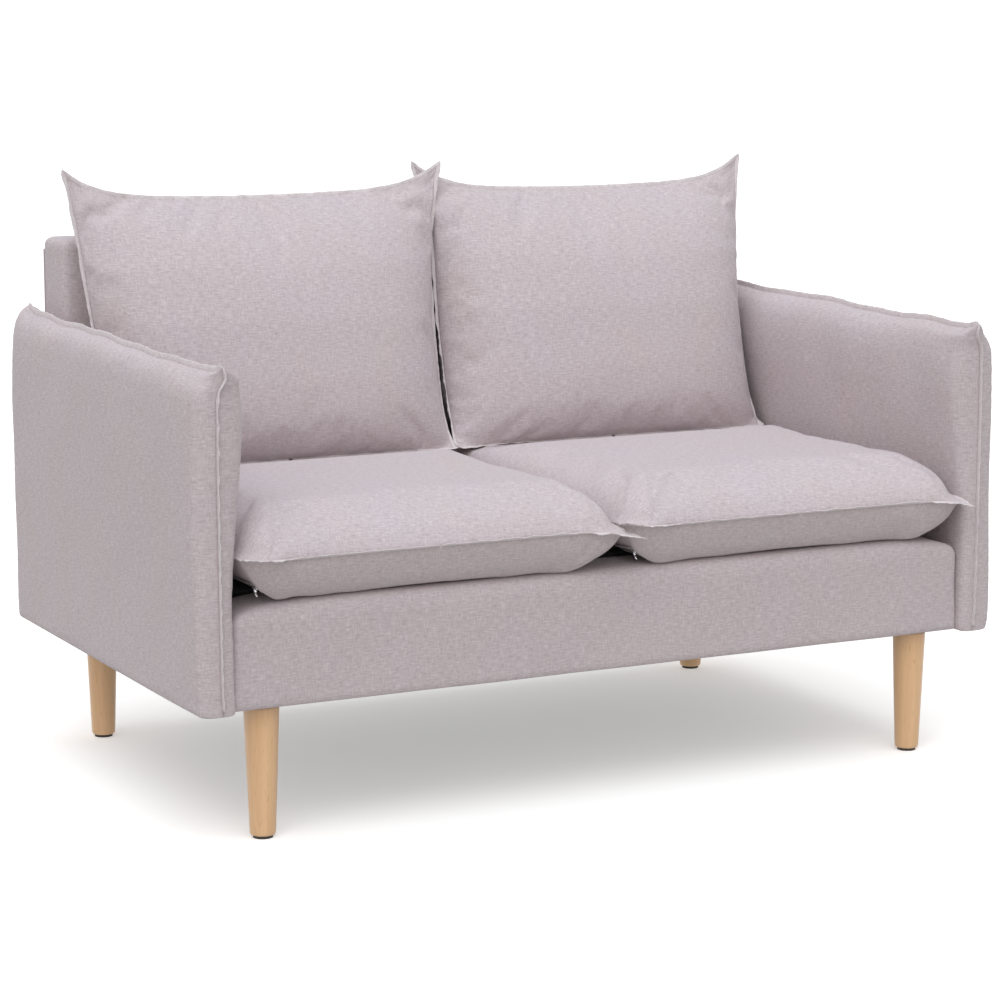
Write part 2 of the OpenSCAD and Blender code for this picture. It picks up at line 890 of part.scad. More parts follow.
back_zip_inset = 60;
left_zip_x = -back_cushion_low_x + back_zip_inset;
right_zip_x = pair_gap / 2 + back_zip_inset;

// ---------- the sofa ----------

base_front_rail();
base_rear_rail();
base_side_rails();
base_spring_rail();
base_middle_beam();
corner_blocks();
back_plinth();
seat_springs();
spring_clips();
deck_foam();
deck_cloth();
base_cover();
dust_cover();
back_top_rail();
back_bottom_rail();
back_posts();
back_webbing();
back_foam();
back_cover();
back_rear_panel();
back_bolts();
mirror([1, 0, 0]) arm_frame();  // left_arm_frame
mirror([1, 0, 0]) arm_board();  // left_arm_board
mirror([1, 0, 0]) arm_foam();  // left_arm_foam
mirror([1, 0, 0]) arm_outer_cover();  // left_arm_outer_cover
mirror([1, 0, 0]) arm_inner_cover();  // left_arm_inner_cover
mirror([1, 0, 0]) arm_flange();  // left_arm_flange
arm_frame();  // right_arm_frame
arm_board();  // right_arm_board
arm_foam();  // right_arm_foam
arm_outer_cover();  // right_arm_outer_cover
arm_inner_cover();  // right_arm_inner_cover
arm_flange();  // right_arm_flange
arm_bolts();
arm_nuts();
leg_front_left();
leg_front_right();
leg_rear_left();
leg_rear_right();
leg_bolts();
leg_nuts();
leg_glides();
translate([-seat_mid_x, 0, 0]) seat_cover();  // left_seat_cover
translate([-seat_mid_x, 0, 0]) seat_core();  // left_seat_core
translate([-seat_mid_x, 0, 0]) seat_zip();  // left_seat_zip
translate([-seat_mid_x, 0, 0]) seat_zip_slider();  // left_seat_zip_slider
translate([seat_mid_x, 0, 0]) seat_cover();  // right_seat_cover
translate([seat_mid_x, 0, 0]) seat_core();  // right_seat_core
translate([seat_mid_x, 0, 0]) seat_zip();  // right_seat_zip
translate([seat_mid_x, 0, 0]) seat_zip_slider();  // right_seat_zip_slider
mirror([1, 0, 0]) back_cushion_cover();  // left_back_cover
mirror([1, 0, 0]) back_cushion_filling();  // left_back_filling
back_zip(left_zip_x);  // left_back_zip
back_zip_slider(left_zip_x);  // left_back_zip_slider
back_cushion_cover();  // right_back_cover
back_cushion_filling();  // right_back_filling
back_zip(right_zip_x);  // right_back_zip
back_zip_slider(right_zip_x);  // right_back_zip_slider
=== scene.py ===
# %% [markdown]
# # A two-seat sofa with wooden legs
# The hard parts of this sofa, its rails, bolts, springs and joints, come ready made as a fixed frame.
# This lesson dresses that frame: padded arms with a stand-up lip along their seams, a base and a back
# pulled tight in fabric, loose cushions with ear-like corners, and turned beech legs. Every soft shape
# is worked out as a surface over two parameters, and only the loose cushions are then inflated by the
# cloth solver, because their small folds come from real filling pushing against real cloth.

# %% Load the frame
import math

import bmesh
import bpy
import numpy as np
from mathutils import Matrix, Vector


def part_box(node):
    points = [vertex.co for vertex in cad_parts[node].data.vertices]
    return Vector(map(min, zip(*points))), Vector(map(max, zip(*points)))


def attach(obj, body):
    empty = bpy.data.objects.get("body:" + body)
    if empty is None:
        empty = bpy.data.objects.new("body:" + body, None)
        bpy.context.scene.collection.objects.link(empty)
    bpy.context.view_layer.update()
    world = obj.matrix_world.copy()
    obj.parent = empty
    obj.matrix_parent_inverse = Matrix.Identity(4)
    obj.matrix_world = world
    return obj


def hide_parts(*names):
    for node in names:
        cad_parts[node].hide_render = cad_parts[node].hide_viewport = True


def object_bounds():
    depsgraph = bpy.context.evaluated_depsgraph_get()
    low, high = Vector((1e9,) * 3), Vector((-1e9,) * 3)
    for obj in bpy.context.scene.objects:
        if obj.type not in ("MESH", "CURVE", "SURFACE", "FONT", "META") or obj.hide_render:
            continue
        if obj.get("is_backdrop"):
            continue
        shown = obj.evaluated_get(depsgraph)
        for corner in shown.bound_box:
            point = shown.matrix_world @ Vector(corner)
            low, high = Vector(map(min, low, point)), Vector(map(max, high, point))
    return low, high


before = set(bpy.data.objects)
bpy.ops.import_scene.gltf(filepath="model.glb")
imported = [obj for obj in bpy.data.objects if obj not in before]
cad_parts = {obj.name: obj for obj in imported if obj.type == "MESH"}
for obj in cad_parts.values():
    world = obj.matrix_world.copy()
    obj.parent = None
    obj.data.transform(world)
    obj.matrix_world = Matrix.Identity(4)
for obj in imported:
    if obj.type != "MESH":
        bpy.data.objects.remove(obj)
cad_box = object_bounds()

print("frame box:", [tuple(round(c, 3) for c in corner) for corner in cad_box])


# %% [markdown]
# ## Measures from the frame
# Every position below starts from the box of a frame node, in metres. The sofa stands on z = 0, faces
# -Y, and X runs to the right of someone who looks at it. A small class keeps a node's box handy.

# %% Boxes of the frame's nodes
class Span:
    """The box of a frame node: low and high corner, middle and half size, as arrays."""

    def __init__(self, node):
        low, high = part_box(node)
        self.low = np.array(low)
        self.high = np.array(high)
        self.mid = (self.low + self.high) / 2
        self.half = (self.high - self.low) / 2


base = Span("base_cover")
back = Span("back_cover")
arm_outer = Span("right_arm_outer_cover")
arm_lip = Span("right_arm_flange")
seat = Span("right_seat_cover")
print("base top", base.high[2], "back front", back.low[1], "arm ridge", arm_lip.high[2])

# %% [markdown]
# ## Camera
# The camera stands low in front of the left arm and looks slightly down. A long lens keeps the
# perspective calm, as in a catalogue.

# %% Camera
camera_data = bpy.data.cameras.new("catalogue_camera")
camera_data.lens = 105.1
camera_data.sensor_width = 36.0
camera = bpy.data.objects.new("catalogue_camera", camera_data)
bpy.context.scene.collection.objects.link(camera)
camera.location = (-2.025, -3.928, 1.110)
aim = Vector((-0.003, 0.0, 0.382))
camera.rotation_euler = (aim - camera.location).to_track_quat("-Z", "Y").to_euler()
bpy.context.scene.camera = camera
print("camera stands", round((aim - camera.location).length, 3), "m from the sofa")

# %% [markdown]
# ## Surfaces from arrays
# A fabric panel is a grid of points. The helpers below turn such a grid into a mesh and give it a
# "cloth" map: two coordinates in metres measured along the fabric, so that the weave keeps its size
# on every panel and bends with it.


# %% Grid helpers
def link(name, mesh):
    """Makes an object of a mesh, with smooth faces, and puts it into the scene."""
    mesh.polygons.foreach_set("use_smooth", np.ones(len(mesh.polygons), bool))
    mesh.update()
    piece = bpy.data.objects.new(name, mesh)
    bpy.context.scene.collection.objects.link(piece)
    return piece


def quads(index):
    """Four corners for each cell of a grid of point numbers."""
    cells = [index[:-1, :-1], index[1:, :-1], index[1:, 1:], index[:-1, 1:]]
    return np.stack(cells, -1).reshape(-1, 4)


def run_length(points, axis):
    """Distance along the grid lines of one axis, counted from the middle line."""
    steps = np.linalg.norm(np.diff(points, axis=axis), axis=-1)
    along = np.concatenate([np.zeros_like(np.take(steps, [0], axis)), np.cumsum(steps, axis)], axis)
    return along - np.take(along, [along.shape[axis] // 2], axis)


def cloth_map(points):
    """The map of a panel: the run lengths along its two directions, in metres."""
    return np.stack([run_length(points, 0), run_length(points, 1)], -1)


def mesh_from(name, points, faces, corner_map):
    """A mesh from points, faces and one map coordinate for each corner of each face."""
    mesh = bpy.data.meshes.new(name)
    mesh.from_pydata(points.tolist(), [], faces.tolist())
    cloth = mesh.uv_layers.new(name="cloth")
    cloth.data.foreach_set("uv", np.ascontiguousarray(corner_map, np.float32).ravel())
    return mesh


def panel(name, points, flip=False):
    """A fabric panel from a grid of points, rows by columns by 3."""
    rows, columns = points.shape[:2]
    faces = quads(np.arange(rows * columns).reshape(rows, columns))
    if flip:
        faces = faces[:, ::-1]
    place = cloth_map(points).reshape(-1, 2)
    return link(name, mesh_from(name, points.reshape(-1, 3), faces, place[faces.ravel()]))


def corners(place):
    """The map of a grid's cells: four corners for each cell, in the order of quads()."""
    return np.stack([place[:-1, :-1], place[1:, :-1], place[1:, 1:], place[:-1, 1:]], 2).reshape(-1, 2)


def tube(name, rings):
    """A skin through closed rings, path by ring by 3. Its first and last ring are shut with one face."""
    count, around = rings.shape[:2]
    index = np.arange(count * around).reshape(count, around)
    index = np.concatenate([index, index[:, :1]], 1)
    place = cloth_map(np.concatenate([rings, rings[:, :1]], 1))
    faces = quads(index).tolist() + [index[0, :-1].tolist(), index[-1, :-1][::-1].tolist()]
    ends = np.concatenate([place[0, :-1], place[-1, :-1][::-1]])
    mesh = bpy.data.meshes.new(name)
    mesh.from_pydata(rings.reshape(-1, 3).tolist(), [], faces)
    cloth = mesh.uv_layers.new(name="cloth")
    values = np.concatenate([corners(place), ends]).astype(np.float32)
    cloth.data.foreach_set("uv", values.ravel())
    return link(name, mesh)


def run_of(line):
    """Distance from the start of a line to each of its points."""
    return np.r_[0, np.cumsum(np.linalg.norm(np.diff(line, axis=0), axis=1))]


def read_at(places, run, values):
    """Values known at distances `run` along a line, read off at other places between them."""
    return np.stack([np.interp(places, run, values[:, k]) for k in range(values.shape[1])], 1)


def soften(line, passes):
    """Each inner point averaged with its neighbours, weighted 1, 2, 1."""
    for _ in range(passes):
        line[1:-1] = (line[:-2] + 2 * line[1:-1] + line[2:]) / 4
    return line


def soft_line(points, count, passes=3):
    """A line through given points in even steps, softened."""
    points = np.array(points, float)
    run = run_of(points)
    return soften(read_at(np.linspace(0, run[-1], count), run, points), passes)


def unit(vectors):
    """Vectors over their own length."""
    return vectors / np.maximum(np.linalg.norm(vectors, axis=-1, keepdims=True), 1e-9)


def superround(t, p, q):
    """1 in the middle of -1..1 and 0 at its ends: (1 - |t|^p)^q."""
    return (1 - np.abs(np.clip(t, -1, 1)) ** p) ** q


def ease(t):
    """A smooth step from 0 to 1: t*t*(3 - 2t)."""
    t = np.clip(t, 0, 1)
    return t * t * (3 - 2 * t)


def blend(a, b, t):
    """a where t is 0 and b where t is 1."""
    return a + (b - a) * t


def close_spaced(count, crowd):
    """count values from -1 to 1 that crowd towards both ends: a blend of even steps and a sine."""
    t = np.linspace(-1, 1, count)
    return blend(t, np.sin(t * np.pi / 2), crowd)


def ripple(points, size, reach, seed):
    """Soft unevenness in metres: a sum of six plane waves with seeded directions and phases."""
    dice = np.random.default_rng(seed)
    ways = dice.normal(size=(6, 3))
    ways /= np.linalg.norm(ways, axis=1)[:, None] * reach * dice.uniform(0.6, 1.6, 6)[:, None] / (2 * np.pi)
    phases = dice.uniform(0, 2 * np.pi, 6)
    return size * np.sin(points @ ways.T + phases).sum(-1) / 3


def normals(points):
    """Unit normals of a grid: the cross product of its row and column directions."""
    return unit(np.cross(np.gradient(points, axis=0), np.gradient(points, axis=1)))


print("weave map test:", cloth_map(np.zeros((3, 4, 3))).shape)

# %% [markdown]
# ## Finishes
# Shader arithmetic reads best as arithmetic. The class below wraps one socket, so that
# `1 - mask * 0.3` adds the Math nodes by itself, and its node() method adds every other node.


# %% A socket with operators
class Wire:
    """An output socket of a shader node, with arithmetic."""

    def __init__(self, tree, socket=None):
        self.tree = tree
        self.socket = socket

    def node(self, kind, settings, inputs, output=0):
        """Adds a node: its settings first, then the values or links of its sockets."""
        made = self.tree.nodes.new("ShaderNode" + kind)
        for key, value in settings.items():
            setattr(made, key, value)
        for key, value in inputs.items():
            if isinstance(value, Wire):
                self.tree.links.new(value.socket, made.inputs[key])
            else:
                made.inputs[key].default_value = value
        return Wire(self.tree, made.outputs[output])

    def math(self, operation, *values):
        return self.node("Math", {"operation": operation}, dict(enumerate(values)))

    def __add__(self, other):
        return self.math("ADD", self, other)

    def __sub__(self, other):
        return self.math("SUBTRACT", self, other)

    def __rsub__(self, other):
        return self.math("SUBTRACT", other, self)

    def __mul__(self, other):
        return self.math("MULTIPLY", self, other)

    def clamped(self):
        return self.node("Clamp", {}, {"Value": self})

    __radd__ = __add__
    __rmul__ = __mul__

    def sine(self, pitch):
        """A wave of this wire with the given pitch."""
        turn = self * (2 * math.pi / pitch)
        return turn.math("SINE", turn)

    def noise(self, scales, detail=2.0, rough=0.5):
        """Noise on this vector, stretched by a scale for each axis, 0 to 1."""
        place = self.node("VectorMath", {"operation": "MULTIPLY"}, {0: self, 1: scales})
        settings = {"Vector": place, "Scale": 1.0, "Detail": detail, "Roughness": rough}
        return self.node("TexNoise", {"noise_dimensions": "3D"}, settings)

    def mix(self, low, high):
        """A colour between two, with this wire as the factor."""
        return self.node("Mix", {"data_type": "RGBA"}, {0: self, 6: low, 7: high}, 2)


def finish(name, colour, roughness, height=None, reach=0.0005, strength=0.5, **fixed):
    """A material: what varies goes to its colour, roughness and bump, the rest is set on its sockets."""
    material = bpy.data.materials[name]
    tree = material.node_tree
    shader = tree.nodes["Principled BSDF"]
    for key, value in fixed.items():
        shader.inputs[key.replace("_", " ")].default_value = value
    for key, value in (("Base Color", colour), ("Roughness", roughness)):
        if isinstance(value, Wire):
            tree.links.new(value.socket, shader.inputs[key])
        else:
            shader.inputs[key].default_value = value
    if height is not None:
        bump = height.node("Bump", {}, {"Height": height, "Distance": reach, "Strength": strength})
        tree.links.new(bump.socket, shader.inputs["Normal"])
    print("finish:", name, len(tree.nodes), "nodes")
    return material


def start(name):
    """A new material with its shader, and a wire to hang nodes on."""
    material = bpy.data.materials.new(name)
    material.use_nodes = True
    return Wire(material.node_tree)


def rgb(*values):
    """A colour socket's four values."""
    return (*values, 1.0)


# %% [markdown]
# ### Linen-look upholstery
# The cloth is a plain weave of mottled yarn. Three scales make it read as cloth: the crossing of warp
# and weft about every millimetre, long thin slubs where a yarn is thicker or darker, and a slow drift
# between a cool and a warm grey, because the yarn is dyed before it is woven.


# %% Upholstery
def woven(name, cool, warm, dark, light, pitch=0.0013, on_object=False, scale=1.0, contrast=4.4):
    """A plain weave over a drifting ground. Short threads along warp and weft, whose share changes from
    patch to patch, lift a lighter yarn where they are thick and show a darker one between them."""
    wire = start(name)
    if on_object:
        place = wire.node("TexCoord", {}, {}, "Object")
    else:
        place = wire.node("UVMap", {"uv_map": "cloth"}, {})
    across = wire.node("SeparateXYZ", {}, {0: place}, 0)
    along = wire.node("SeparateXYZ", {}, {0: place}, 1)
    crossing = across.sine(pitch) * along.sine(pitch)
    warp = place.noise((430 * scale, 90 * scale, 300), 3.0, 0.6)
    weft = place.noise((85 * scale, 460 * scale, 300), 3.0, 0.6)
    patch = ((place.noise((75, 75, 75), 1.0, 0.5) - 0.5) * 2.0 + 0.5).clamped()
    threads = (weft - 0.5) * (patch * 0.8 + 0.6) + (warp - 0.5) * (1.1 - patch * 0.8)
    slub = ((threads - 0.01) * contrast).clamped()
    hollow = ((threads * -1 - 0.01) * contrast).clamped()
    drift = ((place.noise((9, 7, 9), 2.0, 0.5) - 0.5) * 1.6 + 0.5).clamped()
    ground = drift.mix(cool, warm)
    shaded = (hollow * 0.5 + crossing * 0.05 + 0.05).clamped().mix(ground, dark)
    lifted = (slub * 0.6).clamped().mix(shaded, light)
    height = crossing * 0.3 + threads * 1.6
    return finish(name, lifted, 0.86 + hollow * 0.06, height, reach=0.0006, strength=0.5,
                  Sheen_Weight=0.2, Sheen_Roughness=0.45, Specular_IOR_Level=0.25)


cool_grey = rgb(0.600, 0.532, 0.558)
warm_grey = rgb(0.608, 0.524, 0.524)
dark_yarn = rgb(0.410, 0.340, 0.355)
light_yarn = rgb(0.760, 0.695, 0.705)
linen = woven("linen_upholstery", cool_grey, warm_grey, dark_yarn, light_yarn)
lining = woven("black_lining", rgb(0.030, 0.030, 0.032), rgb(0.022, 0.022, 0.024),
               rgb(0.012, 0.012, 0.013), rgb(0.060, 0.060, 0.064), pitch=0.0022)
# The lip is the same upholstery cloth as the covers, painted lighter: a painted highlight for the light that the
# raised, folded lip catches along each seam.
lip_cloth_painted_highlight = woven("folded_lip_cloth_painted_highlight", rgb(0.80, 0.735, 0.745), rgb(0.80, 0.73, 0.725), dark_yarn,
                 rgb(0.85, 0.81, 0.81), pitch=0.0011, scale=1.6)
print("cloths:", linen.name, lining.name, lip_cloth_painted_highlight.name)


# %% [markdown]
# ### Beech and pine
# Beech shows short dark flecks along a fine straight grain. The rails inside are rough pine. Nobody
# sees them once the covers are on, but they are finished all the same, because a cover may come off.


# %% Beech and pine
def timber(name, pale, deep, fleck, along, coat=0.0, rough=0.5):
    """Straight grain along one axis: stretched noise for the rings and sparse short flecks."""
    wire = start(name)
    place = wire.node("TexCoord", {}, {}, "Object")
    stretch = {"x": (2.5, 95, 95), "y": (95, 2.5, 95), "z": (95, 95, 2.5)}[along]
    rings = place.noise(stretch, 3.0, 0.55)
    fibres = place.noise(tuple(s * 7 for s in stretch), 2.0, 0.6)
    dashes = place.noise(tuple(s * 4.5 if s > 50 else s * 24 for s in stretch), 1.0, 0.4)
    marks = ((dashes - 0.65) * 9.0).clamped()
    ground = ((rings - 0.5) * 2.2 + (fibres - 0.5) * 0.8 + 0.5).clamped().mix(pale, deep)
    colour = (marks * 0.3).mix(ground, fleck)
    return finish(name, colour, rough - fibres * 0.1, fibres * 0.5 - marks * 0.6, reach=0.0002,
                  strength=0.35, Coat_Weight=coat, Coat_Roughness=0.25)


beech = timber("turned_beech", rgb(0.81, 0.51, 0.28), rgb(0.71, 0.425, 0.21), rgb(0.42, 0.22, 0.10),
               "z", coat=0.3, rough=0.48)
pine_x = timber("pine_rail", rgb(0.78, 0.60, 0.38), rgb(0.62, 0.43, 0.23), rgb(0.34, 0.19, 0.08), "x")
pine_y = timber("pine_side", rgb(0.78, 0.60, 0.38), rgb(0.62, 0.43, 0.23), rgb(0.34, 0.19, 0.08), "y")
hardboard = timber("pressed_board", rgb(0.30, 0.19, 0.11), rgb(0.22, 0.13, 0.07), rgb(0.12, 0.07, 0.04), "z")
print("timbers:", beech.name, pine_x.name, pine_y.name, hardboard.name)


# %% [markdown]
# ### Foam, steel and plastic
# Foam cells, drawn steel, plated zip metal and moulded feet all look even from a distance and grainy
# close up. One function covers them: two shades, one grain size and the right shine.


# %% Foam, steel and plastic
def speckled(name, colour, shade, size, rough, reach, **fixed):
    """Noise of one size between two shades, for foam cells, cast skin and worn metal."""
    wire = start(name)
    place = wire.node("TexCoord", {}, {}, "Object")
    grain = place.noise((size, size, size), 3.0, 0.6)
    return finish(name, grain.mix(colour, shade), rough + grain * 0.15, grain, reach=reach, **fixed)


foam = speckled("cream_foam", rgb(0.86, 0.80, 0.62), rgb(0.70, 0.62, 0.44), 900, 0.8, 0.0008)
spring_steel = speckled("dark_spring_steel", rgb(0.10, 0.10, 0.105), rgb(0.05, 0.05, 0.052), 400, 0.3,
                        0.0001, Metallic=1.0)
zinc = speckled("zinc_steel", rgb(0.62, 0.62, 0.64), rgb(0.45, 0.45, 0.47), 260, 0.26, 0.0001,
                Metallic=1.0)
plated = speckled("plated_zip_metal", rgb(0.80, 0.80, 0.81), rgb(0.62, 0.62, 0.64), 500, 0.12, 0.0001,
                  Metallic=1.0)
glide_plastic = speckled("dark_plastic", rgb(0.035, 0.030, 0.027), rgb(0.020, 0.018, 0.016), 700, 0.45,
                         0.0001)
webbing = woven("elastic_webbing", rgb(0.05, 0.05, 0.055), rgb(0.04, 0.04, 0.045), rgb(0.02, 0.02, 0.022),
                rgb(0.11, 0.11, 0.12), pitch=0.002, on_object=True)
zip_cloth = woven("zip_tape_cloth", rgb(0.50, 0.46, 0.46), rgb(0.50, 0.45, 0.44), rgb(0.40, 0.36, 0.35),
                  rgb(0.64, 0.60, 0.59), pitch=0.0009, on_object=True)
print("finishes so far:", len(bpy.data.materials))


# %% [markdown]
# ### Finishes for the frame, and for what is added
# The frame's own rails, springs and bolts only need a finish. A piece made here also gets its finish
# and the body of the sofa it rides on, and the plain node it stands in for is hidden. One function does
# all of that for every piece.


# %% Finish the frame's own nodes
def dress(material, *names):
    """Gives frame nodes a material in place of their plain one."""
    for name in names:
        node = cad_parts[name]
        node.data.materials.clear()
        node.data.materials.append(material)


dress(pine_x, "base_front_rail", "base_rear_rail", "base_spring_rail", "back_plinth", "back_top_rail",
      "back_bottom_rail", "corner_blocks")
dress(pine_y, "base_side_rails", "base_middle_beam", "back_posts", "left_arm_frame", "right_arm_frame")
dress(hardboard, "left_arm_board", "right_arm_board")
dress(spring_steel, "seat_springs", "spring_clips")
dress(zinc, "leg_bolts", "leg_nuts", "arm_bolts", "arm_nuts", "back_bolts")
dress(webbing, "back_webbing")
dress(glide_plastic, "leg_glides")
foams = ["deck_foam", "back_foam", "left_arm_foam", "right_arm_foam"]
foams += [side + kind for side in ("left_", "right_") for kind in ("seat_core", "back_filling")]
dress(foam, *foams)


def belongs(piece, material, body, stands_for=None):
    """Gives a made piece its finish and its body, and hides the node it stands in for."""
    piece.data.materials.append(material)
    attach(piece, body)
    if stands_for:
        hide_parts(stands_for)


print("frame nodes finished:", len(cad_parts))


# %% [markdown]
# ## Loose cushions
# A loose cushion is two pieces of cloth sewn together along one seam, with a stand-up lip of doubled
# cloth outside the stitching. It could be sculpted, or shrunk from a box. Here both sides are grids
# over the same two parameters that share their outer ring, so the seam stays one clean line that the
# lip can follow later. The filling is then let in: the cloth solver pushes both sides out from inside
# while the seam holds, and the spare cloth along the seam breaks into small folds.


# %% Two sides and one seam
class Cushion:
    """A closed cushion from two grids that share their outer ring."""

    def __init__(self, name, face, under):
        self.size = rows, columns = face.shape[:2]
        index = np.arange(rows * columns).reshape(rows, columns)
        below = index.copy()
        below[1:-1, 1:-1] = np.arange((rows - 2) * (columns - 2)).reshape(rows - 2, -1) + index.size
        self.face_index, self.under_index = index, below
        self.points = np.concatenate([face.reshape(-1, 3), under[1:-1, 1:-1].reshape(-1, 3)])
        faces = np.concatenate([quads(index), quads(below)[:, ::-1]])
        back_map = corners(cloth_map(under)).reshape(-1, 4, 2)[:, ::-1].reshape(-1, 2)
        corner_map = np.concatenate([corners(cloth_map(face)), back_map])
        self.piece = link(name, mesh_from(name, self.points, faces, corner_map))
        self.ring = np.r_[index[:, 0], index[-1, 1:], index[-2::-1, -1], index[0, -2:0:-1]]

    def inflate(self, pressure, reach, spare, keep):
        """20 frames of cloth with inner pressure; a move longer than reach is softly shortened:
        move * tanh(length / reach) * reach / length. keep() then holds the points off what they touch."""
        seam = self.piece.vertex_groups.new(name="seam")
        seam.add(self.ring.tolist(), 1.0, "REPLACE")
        cloth = self.piece.modifiers.new("filling", "CLOTH")
        settings = cloth.settings
        settings.quality = 5
        settings.mass = 0.3
        settings.tension_stiffness = settings.compression_stiffness = 20
        settings.shear_stiffness = 8
        settings.bending_stiffness = 0.35
        settings.use_pressure = True
        settings.uniform_pressure_force = pressure
        settings.vertex_group_mass = "seam"
        settings.pin_stiffness = 1.0
        settings.shrink_min = -spare
        settings.effector_weights.gravity = 0
        cloth.collision_settings.use_collision = False
        cloth.point_cache.frame_start, cloth.point_cache.frame_end = 1, 20
        for number in range(1, 21):
            bpy.context.scene.frame_set(number)
        view = self.piece.evaluated_get(bpy.context.evaluated_depsgraph_get())
        moved = np.empty(self.points.size, np.float32)
        view.data.vertices.foreach_get("co", moved)
        self.piece.modifiers.remove(cloth)
        self.piece.vertex_groups.remove(seam)
        bpy.context.scene.frame_set(1)
        move = moved.reshape(-1, 3) - self.points
        length = np.maximum(np.linalg.norm(move, axis=1, keepdims=True), 1e-9)
        self.points = self.points + move * np.tanh(length / reach) * reach / length
        print(self.piece.name, "moved at most", round(float(length.max()) * 1000, 1), "mm")
        self.points = keep(self.points)
        self.write()

    def write(self):
        """Puts the points into the mesh."""
        self.piece.data.vertices.foreach_set("co", self.points.astype(np.float32).ravel())
        self.piece.data.update()


def pucker(line, depth, pitch, seed):
    """Small folds along a seam in metres: two waves of slightly different pitch whose size drifts."""
    dice = np.random.default_rng(seed)
    phases = dice.uniform(0, 2 * np.pi, 4)
    drift = 0.5 + 0.5 * np.sin(line / (pitch * 5.3) + phases[0])
    waves = np.sin(2 * np.pi * line / pitch + phases[1] + 1.3 * np.sin(line / (pitch * 2.1) + phases[2]))
    return depth * drift * waves + depth * 0.4 * np.sin(2 * np.pi * line / (pitch * 0.57) + phases[3])


# %% [markdown]
# ### The lip
# The lip is the seam allowance, folded and sewn through, that stands out all round the cushion and
# runs to a point in each corner. It is a thin flat tube carried along the seam: narrow enough to wave
# a little, and wider where it turns a corner.


# %% A lip along a seam
def lip(name, path, outward, width, thick, wave, inset=0.0025, around=12):
    """A flat tube along an open path: ring point = path + o * outward + n * across, where (o, n) runs
    round a blunt oval from -inset to the width and half a thickness to each side. The wave, in metres,
    bends the outer part of the lip across. Its ends shrink to nothing, which shuts it."""
    across = unit(np.cross(unit(np.gradient(path, axis=0)), outward))
    angle = np.linspace(0, 2 * np.pi, around, endpoint=False)
    cosine, sine = np.cos(angle), np.sin(angle)
    out = np.sign(cosine) * np.abs(cosine) ** 0.55
    side = np.sign(sine) * np.abs(sine) ** 0.7
    reach = (width[:, None] + inset) / 2 * (out + 1) - inset
    bend = wave[:, None] * np.clip(reach / np.maximum(width[:, None], 1e-6), 0, 1) ** 1.5
    half = thick / 2 * side * blend(1.0, 0.75, (out + 1) / 2)
    rings = path[:, None] + reach[..., None] * outward[:, None]
    rings = rings + (half + bend)[..., None] * across[:, None]
    for end, near in ((0, 1), (-1, -2)):
        rings[end] = rings[near].mean(0) + (rings[end] - rings[end].mean(0)) * 0.05
    return tube(name, rings)


def seam_path(cushion, turn):
    """The seam as a closed line from ring place `turn`, with its outward directions: away from the
    middle of the seam's own neighbours on both sides, evened out along the line."""
    ring = np.roll(cushion.ring, -turn)
    line = cushion.points[ring]
    rows, columns = cushion.size
    inside = np.ix_(np.clip(np.arange(rows), 1, rows - 2), np.clip(np.arange(columns), 1, columns - 2))
    middle = (cushion.points[cushion.face_index[inside]] + cushion.points[cushion.under_index[inside]]) / 2
    outward = unit(line - middle.reshape(-1, 3)[ring])
    for _ in range(4):
        outward = (np.roll(outward, 1, 0) + 2 * outward + np.roll(outward, -1, 0)) / 4
    return line, unit(outward)


print("lip stands out 3.6 mm on the seats and up to 8.5 mm in the corners of the back cushions")


# %% [markdown]
# ### Seat cushions
# The seat cushions hold a foam block under soft wadding: a flat, evenly crowned top with a full
# shoulder, sides that draw in between the front corners, and corners that lift off the deck.


# %% Seat cushion shape
deck_top = base.high[2] + 0.0005
seat_seam = 0.397
seat_crown = seat.high[2] - 0.004
pressed_down = 0.0190    # how far the back cushion presses into the seat


def shoulder(near_x, near_y, width_x, width_y):
    """Quarter-round edge of a soft block: with a = 1 - dx / wx and b = 1 - dy / wy for the distances to
    the sides, the height is sqrt(1 - a^2 - b^2), so the corners beyond that ellipse stay flat."""
    a, b = np.clip(1 - near_x / width_x, 0, 1), np.clip(1 - near_y / width_y, 0, 1)
    return np.sqrt(np.clip(1 - a * a - b * b, 0, 1))


